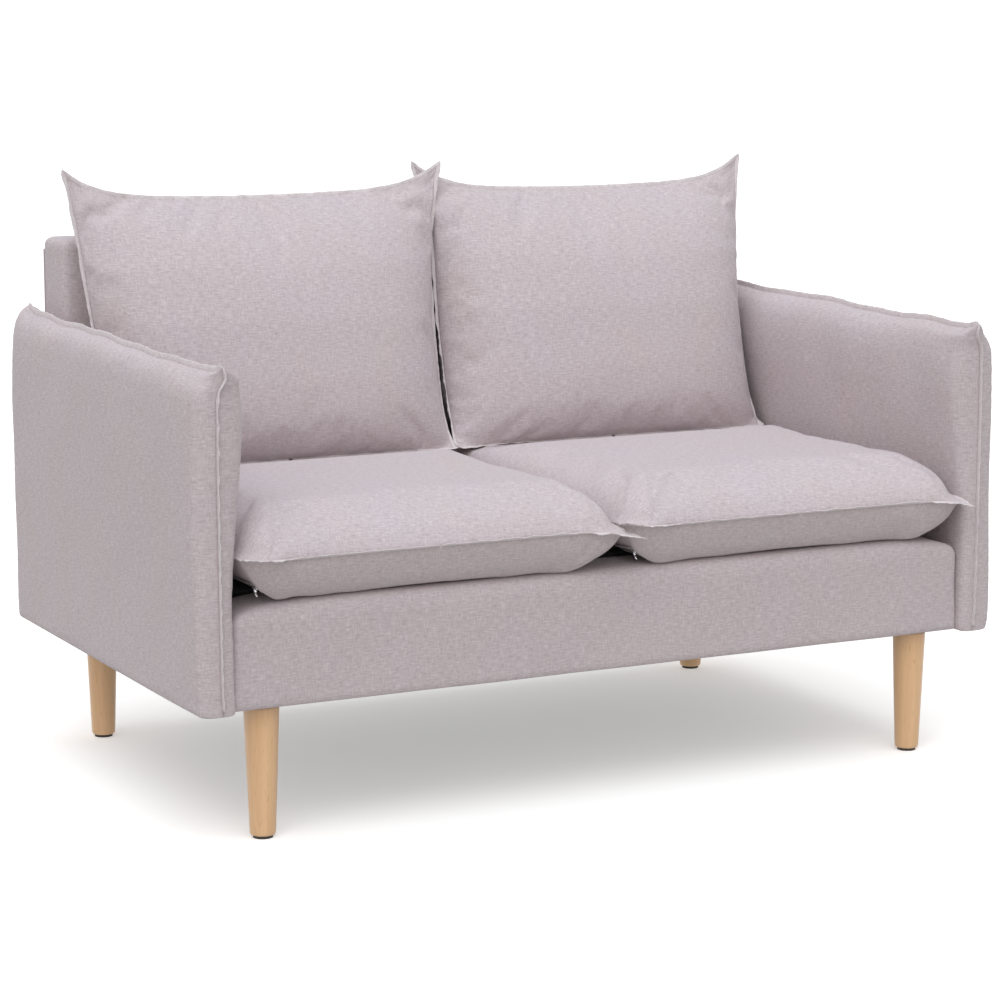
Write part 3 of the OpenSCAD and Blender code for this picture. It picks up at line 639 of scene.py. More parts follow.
def seat_sides(sign, rows=79, columns=95):
    """Plan: steps that crowd to the seam, with the front drawn in between its corners. Height: the seam
    plus the rise times a quarter-round shoulder of the distance to a rectangle with round corners, so
    that the four tips outside it stay flat as ears. The underside does the same downwards."""
    u, v = np.meshgrid(close_spaced(rows, 0.6), close_spaced(columns, 0.6), indexing="ij")
    corner = np.abs(u) ** 12 * np.abs(v) ** 12
    front = ease((0.2 - v) / 1.2)
    arm_side = ease((u + 1) / 2)
    half_x, half_y = seat.half[0] - 0.0005, 0.3485
    flat_x, flat_y = half_x * u, half_y * v
    x = flat_x * (1 - 0.010 * (1 - np.abs(v) ** 7) * np.abs(u) ** 4)
    y = flat_y + front * 0.0185 * (1 - np.abs(u) ** 6) * np.abs(v) ** 3
    y = y - (1 - front) * 0.006 * (1 - np.abs(u) ** 6) * np.abs(v) ** 3
    middle_ear, arm_ear = (0.020, 0.004) if sign < 0 else (0.009, 0.006)
    x = x + corner * front * blend(-middle_ear, arm_ear, arm_side)
    behind = 0.010 if sign > 0 else -0.002
    y = y + corner * front * blend(behind, 0.0, arm_side)
    x = seat.mid[0] + x
    y = seat.low[1] + 0.001 + half_y + y
    low_ear, high_ear = (-0.013, 0.008) if sign < 0 else (0.010, -0.011)
    seam = seat_seam + corner * front * blend(low_ear, high_ear, arm_side) - corner * (1 - front) * 0.01
    dome = 0.93 + 0.07 * (1 - u**2) * (1 - v**2)
    near_x, near_y = half_x - np.abs(flat_x), half_y - np.abs(flat_y)
    width_y = blend(0.070, 0.105, ease((0.6 - v) / 1.2))
    width_x = blend(0.036, 0.056, ease((0.6 - v) / 1.2))
    thin = 0.012 * superround(u, 8, 0.6) * superround(v, 8, 0.6)
    rise = np.hypot((seat_crown - seam - 0.001) * shoulder(near_x, near_y, width_x, width_y) * dome, thin)
    press = 0.017 * ease((y - 0.04) / 0.11)
    top = seam + np.minimum(rise, seat_crown - press - seam)
    drop = np.hypot((seam - deck_top) * shoulder(near_x, near_y, 0.085, 0.042), thin)
    drop = np.minimum(drop, seam - deck_top)
    face = np.stack([x, y, top], -1)
    under = np.stack([x, y, seam - drop], -1)
    face[..., 0] *= sign
    under[..., 0] *= sign
    if sign < 0:
        face, under = face[::-1], under[::-1]
    return face, under


def seat_room(sign):
    """Holds seat points off the deck, the neighbour, the arm, the back and the cushion above."""
    def keep(points):
        p = points.copy()
        p[:, 2] = np.clip(p[:, 2], deck_top, None)
        roof = seat.high[2] + 0.001 - pressed_down * ease((p[:, 1] - 0.03) / 0.11)
        p[:, 2] = np.minimum(p[:, 2], roof)
        x = p[:, 0] * sign
        arm = np.interp(p[:, 2], [0.335, 0.549], [0.5925, 0.5700])
        free = p[:, 1] < arm_lip.low[1] - 0.004
        x = np.clip(x, np.where(free, -0.022, 0.0012), np.where(free, 0.60, arm))
        p[:, 0] = x * sign
        p[:, 1] = np.minimum(p[:, 1], back.low[1] - 0.001)
        return p
    return keep


print("seat seam at", seat_seam, "m, crown at", round(float(seat_crown), 3), "m")


# %% [markdown]
# ### Back cushions
# The back cushions are filled with fibre: thick at the bottom, thin at the top, with long points in the
# upper corners. Seen from the side each is a leaf between the seam and two profiles, so two drawn side
# lines and a blend between them and the seam give the whole shape.


# %% Back cushion shape
def back_cushion_sides(sign, rows=79, columns=67):
    """Every point blends from the seam line to a side profile: rounded full at the front, and at the
    rear flat on the seat, sloped over the corner and flat against the back. The side lines lean out
    towards the top, where the corners rise to points."""
    u, w = np.meshgrid(close_spaced(rows, 0.6), close_spaced(columns, 0.45), indexing="ij")
    bottom, top = np.array([0.155, 0.444]), np.array([0.284, 0.836])
    step = (w + 1) / 2
    seam = np.stack([blend(bottom[0], top[0], step**0.62), blend(bottom[1], top[1], step)], -1)
    front = soft_line([bottom, (0.139, 0.4465), (0.126, 0.466), (0.1225, 0.505), (0.130, 0.565),
                       (0.152, 0.655), (0.186, 0.735), (0.232, 0.798), top], 201, 9)
    rear = soft_line([bottom, (0.205, 0.4425), (0.252, 0.4435), (0.286, 0.466), (0.3, 0.50), (0.3, 0.60),
                      (0.3, 0.79), (0.297, 0.818), top], 201, 5)
    place = np.linspace(-1, 1, 201)
    front = np.stack([np.interp(w, place, front[:, k]) for k in (0, 1)], -1)
    rear = np.stack([np.interp(w, place, rear[:, k]) for k in (0, 1)], -1)
    face = blend(seam, front, superround(u, 3.6, 0.55)[..., None])
    under = blend(seam, rear, superround(u, 7.0, 0.5)[..., None])
    high = ((1 + w) / 2) ** 3
    rise = (0.036 * np.abs(u) ** 7 + 0.009 * u**2) * high
    low_corner = np.abs(u) ** 10 * np.clip(-w, 0, 1) ** 10
    heights = [0.44, 0.51, 0.64, 0.77, 0.885]
    if sign < 0:
        left, right = [-0.566, -0.567, -0.570, -0.581, -0.593], [-0.003, -0.002, 0.001, 0.010, 0.027]
        shift = -0.010 * (u > 0)
    else:
        left, right = [0.002, 0.002, 0.004, 0.010, -0.008], [0.565, 0.566, 0.568, 0.580, 0.591]
        shift = 0.011 * (u < 0)
    both = []
    for side in (face, under):
        y, z = side[..., 0], side[..., 1] + rise
        y = y + shift * np.abs(u) ** 8 * high - 0.004 * low_corner
        z = z - 0.004 * low_corner
        low_x, high_x = (np.interp(seam[..., 1] + rise, heights, line) for line in (left, right))
        x = (low_x + high_x) / 2 + (high_x - low_x) / 2 * u
        x = x - np.sign(u) * 0.004 * (1 - np.abs(w) ** 6) * np.abs(u) ** 4
        both.append(np.stack([x, y, z], -1))
    return both


def back_room(sign):
    """Holds back cushion points off the back, the seat cushion, the arm and the neighbour."""
    def keep(points):
        p = points.copy()
        p[:, 1] = np.where(p[:, 2] < back.high[2] + 0.006, np.minimum(p[:, 1], back.low[1] - 0.001), p[:, 1])
        floor = seat.high[2] + 0.0018 - pressed_down * ease((p[:, 1] - 0.03) / 0.11)
        p[:, 2] = np.maximum(p[:, 2], floor)
        x = p[:, 0] * sign
        above_arm = arm_lip.high[2] + 0.012
        x = np.minimum(x, np.select([p[:, 2] >= above_arm, p[:, 2] > 0.60], [0.60, 0.5692], 0.5688))
        inner = np.where(p[:, 2] < 0.74, 0.0012, -0.03)
        p[:, 0] = np.maximum(x, inner) * sign
        return p
    return keep


print("back cushions press", round(pressed_down * 1000), "mm into the seats")


# %% [markdown]
# ### Filling them
# Seats are firm and move a few millimetres, backs are softer and move twice as far. What they would
# press into is kept free afterwards by moving single points back to the limit.


# %% Make the four cushions
sides_of_sofa = (("left", -1), ("right", 1))
cushions = {}
for side, sign in sides_of_sofa:
    for kind, shape, room, reach, spare in (("_seat", seat_sides, seat_room, 0.008, 0.014),
                                            ("_back", back_cushion_sides, back_room, 0.016, 0.018)):
        cushions[side + kind] = Cushion(side + kind + "_cushion", *shape(sign))
        cushions[side + kind].inflate(4.0, reach, spare, room(sign))
for key, made in cushions.items():
    low, high = made.points.min(0), made.points.max(0)
    print(key, "box", low.round(3), high.round(3))


# %% [markdown]
# ### Gathers, lips and stuffing
# The sewing draws the cloth in, so small folds run away from the seam and die out within a finger's
# width. They could come from a finer simulation, but a seeded wave whose size drifts looks the same and
# costs nothing. Inside, the stuffing follows the cushion's own shape and stops short of its seam.


# %% Small folds beside the seams, and the lips
def gather(cushion, depth, pitch, fade, seed):
    """Adds puckers next to the seam: the fold depth falls off with the distance to the seam ring."""
    for index, seed_shift in ((cushion.face_index, 0), (cushion.under_index, 50)):
        grid = cushion.points[index]
        normal = normals(grid)
        run_u, run_v = run_length(grid, 0), run_length(grid, 1)
        d_u = np.minimum(run_u - run_u[:1], run_u[-1:] - run_u)
        d_v = np.minimum(run_v - run_v[:, :1], run_v[:, -1:] - run_v)
        fold = pucker(run_v, depth, pitch, seed + seed_shift) * np.exp(-((d_u / fade) ** 2))
        fold = fold + pucker(run_u, depth, pitch, seed + seed_shift + 7) * np.exp(-((d_v / fade) ** 2))
        fold = fold * ((d_u > 0) & (d_v > 0))
        cushion.points[index] = grid + normal * fold[..., None]
    cushion.write()


def dress_cushion(key, width, corner_width, fill, seed):
    """Folds, one smoothing subdivision, and a lip along the seam that grows wider where it turns."""
    cushion = cushions[key]
    piece = cushion.piece
    gather(cushion, 0.0011, 0.021, 0.022, seed)
    smooth = piece.modifiers.new("smooth", "SUBSURF")
    smooth.levels = smooth.render_levels = 1
    line, outward = (np.concatenate([part, part[:1]]) for part in seam_path(cushion, cushion.size[0] // 2))
    run = run_of(line)
    even = np.linspace(0, run[-1], int(run[-1] / 0.0027))
    line, outward = read_at(even, run, line), unit(read_at(even, run, outward))
    turn = np.linalg.norm(np.gradient(outward, even, axis=0), axis=1)
    turn = np.convolve(np.clip(turn / 40, 0, 1), np.ones(7) / 7, "same")
    wave = pucker(even, 0.0006, 0.012, seed + 3) + pucker(even, 0.0010, 0.043, seed + 6) * (1 + turn)
    wide = width * (1 + corner_width * turn) + pucker(even, 0.0003, 0.037, seed + 4)
    if "back" in key:
        wide = wide * blend(0.5, 1.0, ease((line[:, 2] - 0.47) / 0.12))
    band = lip(piece.name + "_lip", line, outward, wide, 0.0020, wave)
    belongs(piece, linen, key + "_cushion", key + "_cover")
    # The cushion lip gets the lighter lip cloth, a painted highlight along the seam.
    belongs(band, lip_cloth_painted_highlight, key + "_cushion")
    print(piece.name, "seam length", round(float(run[-1]), 3), "m")


def fill_cushion(key, stands_for):
    """The foam or fibre inside: every third point away from the seam, at 0.8 of the cushion's thickness
    about its middle surface, closed along its own outer ring."""
    cushion = cushions[key]
    sides = [cushion.points[index][9:-9:3, 9:-9:3] for index in (cushion.face_index, cushion.under_index)]
    middle = (sides[0] + sides[1]) / 2
    thick = np.full(middle.shape[:2] + (1,), 0.8)
    thick[0], thick[-1], thick[:, 0], thick[:, -1] = 0, 0, 0, 0
    inner = Cushion(key + "_stuffing", *(blend(middle, grid, thick) for grid in sides))
    belongs(inner.piece, foam, key + "_cushion", stands_for)


for number, key in enumerate(("left_seat", "right_seat", "left_back", "right_back")):
    is_seat = "seat" in key
    dress_cushion(key, *((0.0036, 0.2, 0.8) if is_seat else (0.005, 0.7, 0.65)), 11 * number + 5)
    fill_cushion(key, key + ("_core" if is_seat else "_filling"))


# %% [markdown]
# ## Arms
# Each arm is a padded frame in two covers, an outer and an inner panel, joined along the front, top and
# rear by a seam with a stand-up lip. The padding swells between the seams, so each panel is a shallow
# pillow: its distance from the seam plane is a product of one curve along the arm and one curve up it.


# %% Curves of an arm panel
ridge = arm_outer.high[2]
seam_plane = arm_lip.mid[0]
arm_front, arm_rear = arm_outer.low[1], arm_outer.high[1]
floor_of_arm = arm_outer.low[2]
print("arms from", round(float(floor_of_arm), 3), "to", round(float(ridge), 3), "m up")


def nose_curve(count, swell, power):
    """Along the arm: (place, share of full thickness). The share is a rounded step that is 0 at both
    seams; steps are even along the curve itself, so they crowd where it turns."""
    t = np.sin(np.sin(np.linspace(-np.pi / 2, np.pi / 2, 6001)) * np.pi / 2)
    half = (arm_rear - arm_front) / 2
    share = np.where(t < 0, superround(t, power, 0.5), superround(t, 120, 0.5))
    line = soft_line(np.stack([t * half, share * swell], 1), count, 0)
    return line[:, 0] + (arm_rear + arm_front) / 2, line[:, 1] / swell


def seam_sway(y, z):
    """How far the seam plane wanders from its mean in X: out of line at the front of the arm only."""
    front = np.exp(-np.clip(y - arm_front, 0, None) / 0.075)
    sway = np.interp(z, [0.188, 0.22, 0.30, 0.48, 0.60, 0.615, 0.628, 0.642, 0.658, 0.68],
                     [-0.003, -0.001, 0.0, 0.001, 0.001, 0.001, -0.002, -0.010, -0.006, -0.003])
    wander = 0.0018 * np.sin(y * 23 + 1.0) + 0.0013 * np.sin(y * 51 + 2.0)
    return front * sway + wander * ease((z - 0.5) / 0.1)


def ridge_lift(y, z):
    """How far the ridge rises from front to rear and up into its two corners, fading below 0.5 m."""
    s = (y - (arm_front + arm_rear) / 2) / ((arm_rear - arm_front) / 2)
    lift = -0.003 + 0.008 * s + 0.011 * np.abs(s) ** 26
    lift = lift + (0.0016 * np.sin(y * 19 + 0.6) + 0.0009 * np.sin(y * 47)) * (1 - s ** 8)
    return lift * np.clip((z - 0.5) / (ridge - 0.5), 0, 1) ** 2


def arm_panel(sign, outer, rows=190, columns=128):
    """X = seam plane + thickness * nose share * rise share, Y and Z from the two curves, plus a slow
    unevenness of the padding and puckers that fade away from the seams."""
    if outer:
        thick = arm_outer.high[0] - 0.0015 - seam_plane
        stops = [(0.02, 0.188), (0.55, 0.188), (0.94, 0.188), (0.972, 0.1905), (0.98, 0.20), (0.985, 0.3),
                 (1.02, 0.42), (1.03, 0.53), (1.0, 0.595), (0.93, 0.626), (0.80, 0.643), (0.55, 0.6545),
                 (0.25, 0.6585), (0.0, 0.6590)]
    else:
        thick = seam_plane - 0.5712
        stops = [(0.02, 0.188), (0.25, 0.188), (0.44, 0.188), (0.474, 0.1905), (0.477, 0.22), (0.484, 0.335),
                 (0.72, 0.44), (0.93, 0.525), (1.0, 0.562), (1.0, 0.592), (0.955, 0.613), (0.84, 0.632),
                 (0.62, 0.648), (0.30, 0.6575), (0.0, 0.6590)]
    scaled = [(share * thick, z) for share, z in stops]
    rise = soft_line(scaled, columns, 2)
    share, height = rise[:, 0] / thick, rise[:, 1]
    blunt = ease((0.46 - height) / 0.26)[None]
    soft_y, soft_nose = nose_curve(rows, thick, 56)
    blunt_y, blunt_nose = nose_curve(rows, thick, 170)
    y_grid = blend(soft_y[:, None], blunt_y[:, None], blunt)
    nose = blend(soft_nose[:, None], blunt_nose[:, None], blunt)
    height_grid = np.broadcast_to(height[None], y_grid.shape)
    out = nose * share[None]
    z_grid = height_grid + ridge_lift(y_grid, height_grid)
    corner = np.clip((height_grid - 0.62) / 0.039, 0, 1) ** 2
    s = (y_grid - soft_y.mean()) / (soft_y.max() - soft_y.mean())
    y_grid = y_grid + (corner * np.abs(s) ** 30 * 0.004) * np.sign(s)
    bulge = out * thick * (1 if outer else -1)
    points = np.stack([seam_plane + seam_sway(y_grid, z_grid) + bulge, y_grid, z_grid], -1)
    points[..., 2] = np.maximum(points[..., 2], floor_of_arm + 0.0002)
    up, along = run_length(points, 1), run_length(points, 0)
    near_seam_y = np.exp(-((1 - np.abs(s)) * 0.388 / 0.020) ** 2)
    near_top = np.exp(-(((up.max(1, keepdims=True) - up) / 0.022) ** 2))
    seed = (3 if outer else 4) + (10 if sign > 0 else 20)
    inside = (out > 0.002) & (height_grid > 0.2)
    folds = pucker(up, 0.0003, 0.027, seed) * near_seam_y * (height_grid < 0.645)
    folds = folds + pucker(along, 0.0005, 0.026, seed + 1) * near_top * (np.abs(s) < 0.985)
    uneven = ripple(points, 0.0010, 0.16, seed) * out
    tilt = normals(points) * (1 if outer else -1)
    points = points + tilt * ((folds + uneven) * inside)[..., None]
    points[..., 0] = np.minimum(points[..., 0], arm_outer.high[0] + 0.0020)
    points[..., 0] *= sign
    return points


# %% [markdown]
# ### Covers, wadding and lip of an arm
# A cover is cloth with a real thickness, so that its open lower edge looks right from below. The
# wadding follows both panels a few millimetres further in. The lip runs up the front, along the ridge
# and down the rear in one piece, wider on the ridge and waviest where it turns.


# %% Covers and wadding of an arm
def solid(piece, name, thickness, offset):
    """Gives a sheet of faces a thickness."""
    cloth = piece.modifiers.new(name, "SOLIDIFY")
    cloth.thickness, cloth.offset = thickness, offset


def add_arm_cloth(side, sign):
    """Two solid cloth panels, 1.6 mm thick, and one wadding, 4.5 mm further in and 6 mm thick."""
    meshes, start_at = [], 0
    for kind in ("outer", "inner"):
        outer = kind == "outer"
        points = arm_panel(sign, outer)
        piece = panel(side + "_arm_" + kind + "_panel", points, flip=(sign > 0) != outer)
        solid(piece, "cloth_thickness", 0.0016, -1)
        belongs(piece, linen, "frame", side + "_arm_" + kind + "_cover")
        turn = 1 if (sign > 0) == outer else -1
        grid = points - normals(points) * turn * 0.0045
        grid = grid[6:-6:3, 6:-6:3]
        cells = quads(np.arange(grid[..., 0].size).reshape(grid.shape[:2]) + start_at)
        place = corners(cloth_map(grid)).reshape(-1, 4, 2)
        if turn < 0:
            cells, place = cells[:, ::-1], place[:, ::-1]
        meshes.append((grid.reshape(-1, 3), cells, place.reshape(-1, 2)))
        start_at += grid[..., 0].size
    name = side + "_arm_wadding"
    wadding = link(name, mesh_from(name, *map(np.concatenate, zip(*meshes))))
    solid(wadding, "foam_thickness", 0.006, -1)
    belongs(wadding, foam, "frame", side + "_arm_foam")
    print(name, len(wadding.data.polygons), "faces")


for side, sign in sides_of_sofa:
    add_arm_cloth(side, sign)


# %% Lip of an arm
def add_arm_lip(side, sign):
    """Its line is the seam's outline in side view, three straight runs with softened corners, lifted
    and swayed like the panels. Outward is the outline's own direction turned by a right angle."""
    z = np.linspace(floor_of_arm + 0.004, ridge - 0.006, 118)
    y = np.linspace(arm_front + 0.006, arm_rear - 0.006, 190)
    flat = np.concatenate([
        np.stack([np.full_like(z, arm_front), z], 1), np.stack([y, np.full_like(y, ridge)], 1),
        np.stack([np.full_like(z, arm_rear), z[::-1]], 1)])
    flat = soft_line(flat, 420, 2)
    lift = ridge_lift(flat[:, 0], flat[:, 1])
    path = np.stack([seam_plane + seam_sway(flat[:, 0], flat[:, 1] + lift), flat[:, 0],
                     flat[:, 1] + lift], 1)
    direction = soften(unit(np.gradient(flat, axis=0)), 3)
    outward = unit(np.stack([np.zeros(len(path)), -direction[:, 1], direction[:, 0]], 1))
    run = run_of(path)
    bend = np.minimum(np.abs(outward[:, 1]), np.abs(outward[:, 2])) * 1.4
    top = ease((path[:, 2] - 0.60) / 0.05)
    wide = blend(0.0058, 0.0078, top) * (1 + 0.35 * bend) + pucker(run, 0.0003, 0.041, 5)
    wave = pucker(run, 0.0010, 0.031, 8 if sign > 0 else 9) * (1 + bend)
    path[:, 0] *= sign
    outward[:, 0] *= sign
    band = lip(side + "_arm_lip", path, outward, wide, 0.0024, wave * sign, inset=0.003)
    # The arm lip gets the lighter lip cloth, a painted highlight along the seam.
    belongs(band, lip_cloth_painted_highlight, "frame", side + "_arm_flange")
    print(side, "arm seam", round(float(run[-1]), 3), "m")


for side, sign in sides_of_sofa:
    add_arm_lip(side, sign)


# %% [markdown]
# ## Base and back
# The base is an upholstered box between the arms, and the back is a thinner one that stands on it. Both
# are pulled tight, so a box with rounded edges is close to the real shape. The formula is the nearest
# point of a smaller inner box, plus the edge radius along the direction away from it.


# %% A soft-edged box
def rounded_box(name, low, high, radius, step, settle=None):
    """Six grids over the faces of a box. Each point is its nearest point in the box shrunk by the
    radius, plus the radius along the direction between them. Doubles along the edges are merged."""
    low, high = np.array(low), np.array(high)
    mid, half = (low + high) / 2, (high - low) / 2
    counts = np.maximum((2 * half / step).astype(int), 4)
    points, faces, maps, first = [], [], [], 0
    for axis in range(3):
        a, b = (axis + 1) % 3, (axis + 2) % 3
        for end in (-1, 1):
            s, t = np.meshgrid(close_spaced(counts[a], 0.75), close_spaced(counts[b], 0.75), indexing="ij")
            cube = np.zeros(s.shape + (3,))
            cube[..., axis], cube[..., a], cube[..., b] = end, s, t
            spot = cube * half
            r = radius(spot + mid)[..., None] if callable(radius) else radius
            core = np.clip(spot, -(half - r), half - r)
            away = spot - core
            away /= np.maximum(np.linalg.norm(away, axis=-1, keepdims=True), 1e-9)
            grid = core + away * r + mid
            if settle is not None:
                grid = settle(grid)
            index = np.arange(s.size).reshape(s.shape) + first
            cells = quads(index)
            place = corners(cloth_map(grid)).reshape(-1, 4, 2)
            if axis == 1:
                place = place[..., ::-1]
            if end < 0:
                cells, place = cells[:, ::-1], place[:, ::-1]
            points.append(grid.reshape(-1, 3))
            faces.append(cells)
            maps.append(place.reshape(-1, 2))
            first += s.size
    piece = link(name, mesh_from(name, np.concatenate(points), np.concatenate(faces), np.concatenate(maps)))
    shell = bmesh.new()
    shell.from_mesh(piece.data)
    bmesh.ops.remove_doubles(shell, verts=shell.verts, dist=1e-5)
    shell.to_mesh(piece.data)
    shell.free()
    print(name, len(piece.data.polygons), "faces")
    return piece


base_sag = 0.019


def rear_share(points):
    """0 over most of the depth, easing to 1 in the last 60 mm before the rear face."""
    return ease((points[..., 1] - base.high[1] + 0.06) / 0.04)


def base_settle(points):
    """The top edge of the base sags towards the arms: lowered by 19 mm * exp(-distance / 36 mm), only
    in the upper part of the box and not at the rear, plus a slow unevenness of the front."""
    p = points.copy()
    gap = base.high[0] - np.abs(p[..., 0])
    upper = ease((p[..., 2] - 0.245) / 0.085) * (1 - rear_share(p))
    p[..., 2] -= base_sag * np.exp(-gap / 0.036) * upper
    p[..., 1] += ripple(p, 0.0011, 0.17, 31) * (p[..., 1] < base.low[1] + 0.01)
    return p


def base_radius(points):
    """24 mm at the top front edge, 13 mm towards the ends, 6 mm along the bottom and 4 mm at the rear,
    where the cloth lies straight on the rail, with smooth changes."""
    end = ease((np.abs(points[..., 0]) - base.high[0] + 0.07) / 0.06)
    front = blend(0.006, blend(0.024, 0.013, end), ease((points[..., 2] - 0.2) / 0.08))
    return blend(front, 0.004, rear_share(points))


# %% [markdown]
# ### Covers and foam of the base and the back
# Cover and foam are the same box at two sizes. The foam could be left as the plain block it is, but it
# would show through where the cover sags, so it sags too.


# %% Base, back and their inner foam
upholstered_base = rounded_box("base_upholstery", base.low + (0, 0, 0.0016), base.high, base_radius, 0.0095,
                               base_settle)
base_foam = rounded_box("base_foam", base.low + (0.003, 0.003, 0.1), base.high - 0.003, 0.022, 0.02,
                        lambda p: base_settle(p) - (0, 0, 0.0015))
upholstered_back = rounded_box("back_upholstery", back.low, back.high - (0, 0.001, -0.006), 0.014, 0.0095,
                               lambda p: p + ripple(p, 0.0008, 0.2, 33)[..., None] * (0, 0.6, 0.6))
back_pad = rounded_box("back_pad", back.low + 0.003, back.high - 0.004, 0.012, 0.02)
for piece, material, slot, stands_for in (
        (upholstered_base, linen, "upholstery", "base_cover"), (base_foam, foam, "foam", "deck_foam"),
        (upholstered_back, linen, "upholstery", "back_cover"), (back_pad, foam, "foam", "back_foam")):
    belongs(piece, material, "frame", stands_for)


# %% [markdown]
# ## Flat sheets
# Two black sheets close the base: the deck cloth that the seat cushions rest on, and the dust cover
# stapled underneath. They are cut flat, so they are simply laid over what carries them.


# %% Deck cloth and dust cover
def sheet_over(node, low, high, height, step, up, thick):
    """A rectangle of cloth laid at a height that may vary from place to place."""
    x = np.linspace(low[0], high[0], int((high[0] - low[0]) / step))
    y = np.linspace(low[1], high[1], int((high[1] - low[1]) / step))
    x, y = np.meshgrid(x, y, indexing="ij")
    points = np.stack([x, y, height(x, y)], -1)
    piece = panel(node + "_sheet", points, flip=not up)
    solid(piece, "cloth_thickness", thick, 1)
    belongs(piece, lining, "frame", node)
    print(node, "laid with", len(piece.data.polygons), "faces")


deck, dust = Span("deck_cloth"), Span("dust_cover")


def deck_height(x, y):
    """Just on the base top, with its sag towards the arms."""
    return base.high[2] + 0.0002 - base_sag * np.exp(-(base.high[0] - np.abs(x)) / 0.036)


sheet_over("deck_cloth", deck.low[:2] + (0.030, 0), deck.high[:2] - (0.030, 0.002), deck_height, 0.02,
           True, 0.0004)
sheet_over("dust_cover", dust.low[:2] + 0.012, dust.high[:2] - 0.012,
           lambda x, y: dust.low[2] + 0.0010 + 0 * x, 0.03, False, 0.0006)


# %% [markdown]
# ### Rear panel
# The rear panel is flat and stays the frame's own node. It only needs the upholstery cloth.


# %% Rear panel of the back
rear_panel = Span("back_rear_panel")
print("rear panel", rear_panel.low.round(4), rear_panel.high.round(4))
dress(linen, "back_rear_panel")


# %% [markdown]
# ## Legs
# Four plain turned legs, thicker at the top. A lathe makes the real ones, and the same idea makes the
# surface: one side line, from the middle of the foot to the middle of the top, carried round a circle.


# %% Turned legs
def turned_leg(node, around=64):
    """Side line of a straight taper with a small round at the foot and a flat top, turned round
    its own axis: x = r cos a, y = r sin a."""
    leg = Span(node)
    top_r, low_z, high_z = leg.half[0], leg.low[2], leg.high[2]
    foot_r = 0.018
    line = soft_line([(0.0, low_z), (foot_r - 0.003, low_z), (foot_r - 0.0008, low_z + 0.0008),
                      (foot_r, low_z + 0.003), (foot_r + 0.0005, low_z + 0.012)], 16, 0)
    side = np.stack([np.linspace(foot_r + 0.0005, top_r, 40), np.linspace(low_z + 0.012, high_z, 40)], 1)
    cap = np.stack([np.linspace(top_r, 0, 8), np.full(8, high_z)], 1)
    line = np.concatenate([line, side[1:], cap[1:]])
    angle = np.linspace(0, 2 * np.pi, around, endpoint=False)
    ring = np.stack([np.cos(angle), np.sin(angle), np.zeros(around)], 1)
    middle = np.array([leg.mid[0], leg.mid[1], 0])
    grid = middle + line[1:-1, None, :1] * ring + line[1:-1, None, 1:] * (0, 0, 1)
    piece = tube(node.replace("leg", "turned_leg"), grid[::-1])
    belongs(piece, beech, "frame", node)


for node in ("leg_front_left", "leg_front_right", "leg_rear_left", "leg_rear_right"):
    turned_leg(node)
print("four legs, top radius", Span("leg_front_left").half[0])


# %% [markdown]
# ## Zips
# Each loose cushion opens along a zip on its hidden side. The tape and the closed row of teeth are laid
# on the cushion's own grid, and the slider with its pull sits at the front end of the row.


# %% Zip tape and teeth
back_zip_depth = 0.266    # Y of the zip in the underside of a back cushion


def cushion_line(cushion, index, lane, start_at, end_at):
    """Points and outward normals of the underside along one lane of its grid."""
    grid = cushion.points[cushion.under_index]
    outward = -normals(grid)
    if index == 0:
        return grid[lane, start_at:end_at], outward[lane, start_at:end_at]
    return grid[start_at:end_at, lane], outward[start_at:end_at, lane]


def straighten(cushion, lane, start_at, end_at):
    """Levels the underside along one lane, so that a slider can run on it: the lane is moved to its own
    mean depth and height, and its neighbours follow with a weight of exp(-(steps / 3)^2)."""
    grid = cushion.points[cushion.under_index]
    shift = np.zeros_like(grid[:, 0])
    shift[start_at:end_at, 1:] = (grid[start_at:end_at, lane].mean(0) - grid[start_at:end_at, lane])[:, 1:]
    for step in range(1, 6):
        shift[start_at - step] = shift[start_at] * np.exp(-((step / 3) ** 2))
        shift[end_at - 1 + step] = shift[end_at - 1] * np.exp(-((step / 3) ** 2))
    weight = np.exp(-(((np.arange(grid.shape[1]) - lane) / 3) ** 2)) * (np.arange(grid.shape[1]) > 0)
    cushion.points[cushion.under_index] = grid + shift[:, None] * weight[None, :, None]
    cushion.write()


def add_zip(key, index, lane, start_at, end_at):
    """A tape 20 mm wide laid on the cushion and a round-backed row of closed teeth along its middle:
    each is a flat tube along the lane, with the normal of the cushion as its thin direction. Gives
    back where the row starts, and the directions along it, away from the cushion and across."""
    line, outward = cushion_line(cushions[key], index, lane, start_at, end_at)
    run = run_of(line)
    even = np.linspace(0, run[-1], int(run[-1] / 0.004))
    line, outward = read_at(even, run, line), read_at(even, run, outward)
    if index:
        outward[:] = outward.mean(0) * (0, 1, 1)
    for _ in range(6):
        outward[1:-1] = (outward[:-2] + outward[1:-1] + outward[2:]) / 3
    outward, along = unit(outward), unit(np.gradient(line, axis=0))
    across = np.cross(along, outward)
    flat = np.zeros(len(line))
    tape = lip(key + "_zip_tape", line - across * 0.010 + outward * 0.0012, across,
               np.full(len(line), 0.020), 0.0012, flat, inset=0.0)
    tooth_width = 0.0052 + 0.0007 * np.sign(np.sin(np.arange(len(line)) * np.pi / 2 + 0.3))
    teeth = lip(key + "_zip_teeth", line - across * tooth_width[:, None] / 2 + outward * 0.0024, across,
                tooth_width, 0.0018, flat, inset=0.0)
    belongs(tape, zip_cloth, key + "_cushion", key + "_zip")
    belongs(teeth, plated, key + "_cushion")
    print(key, "zip", round(float(run[-1]), 3), "m long")
    return line[0], along[0], outward[0], across[0]


# %% [markdown]
# ### Slider and pull
# The slider and its pull are the only parts of a zip that move against the cushion, so they ride on
# their own body. The ring hangs a little to one side, as a loose pull does.


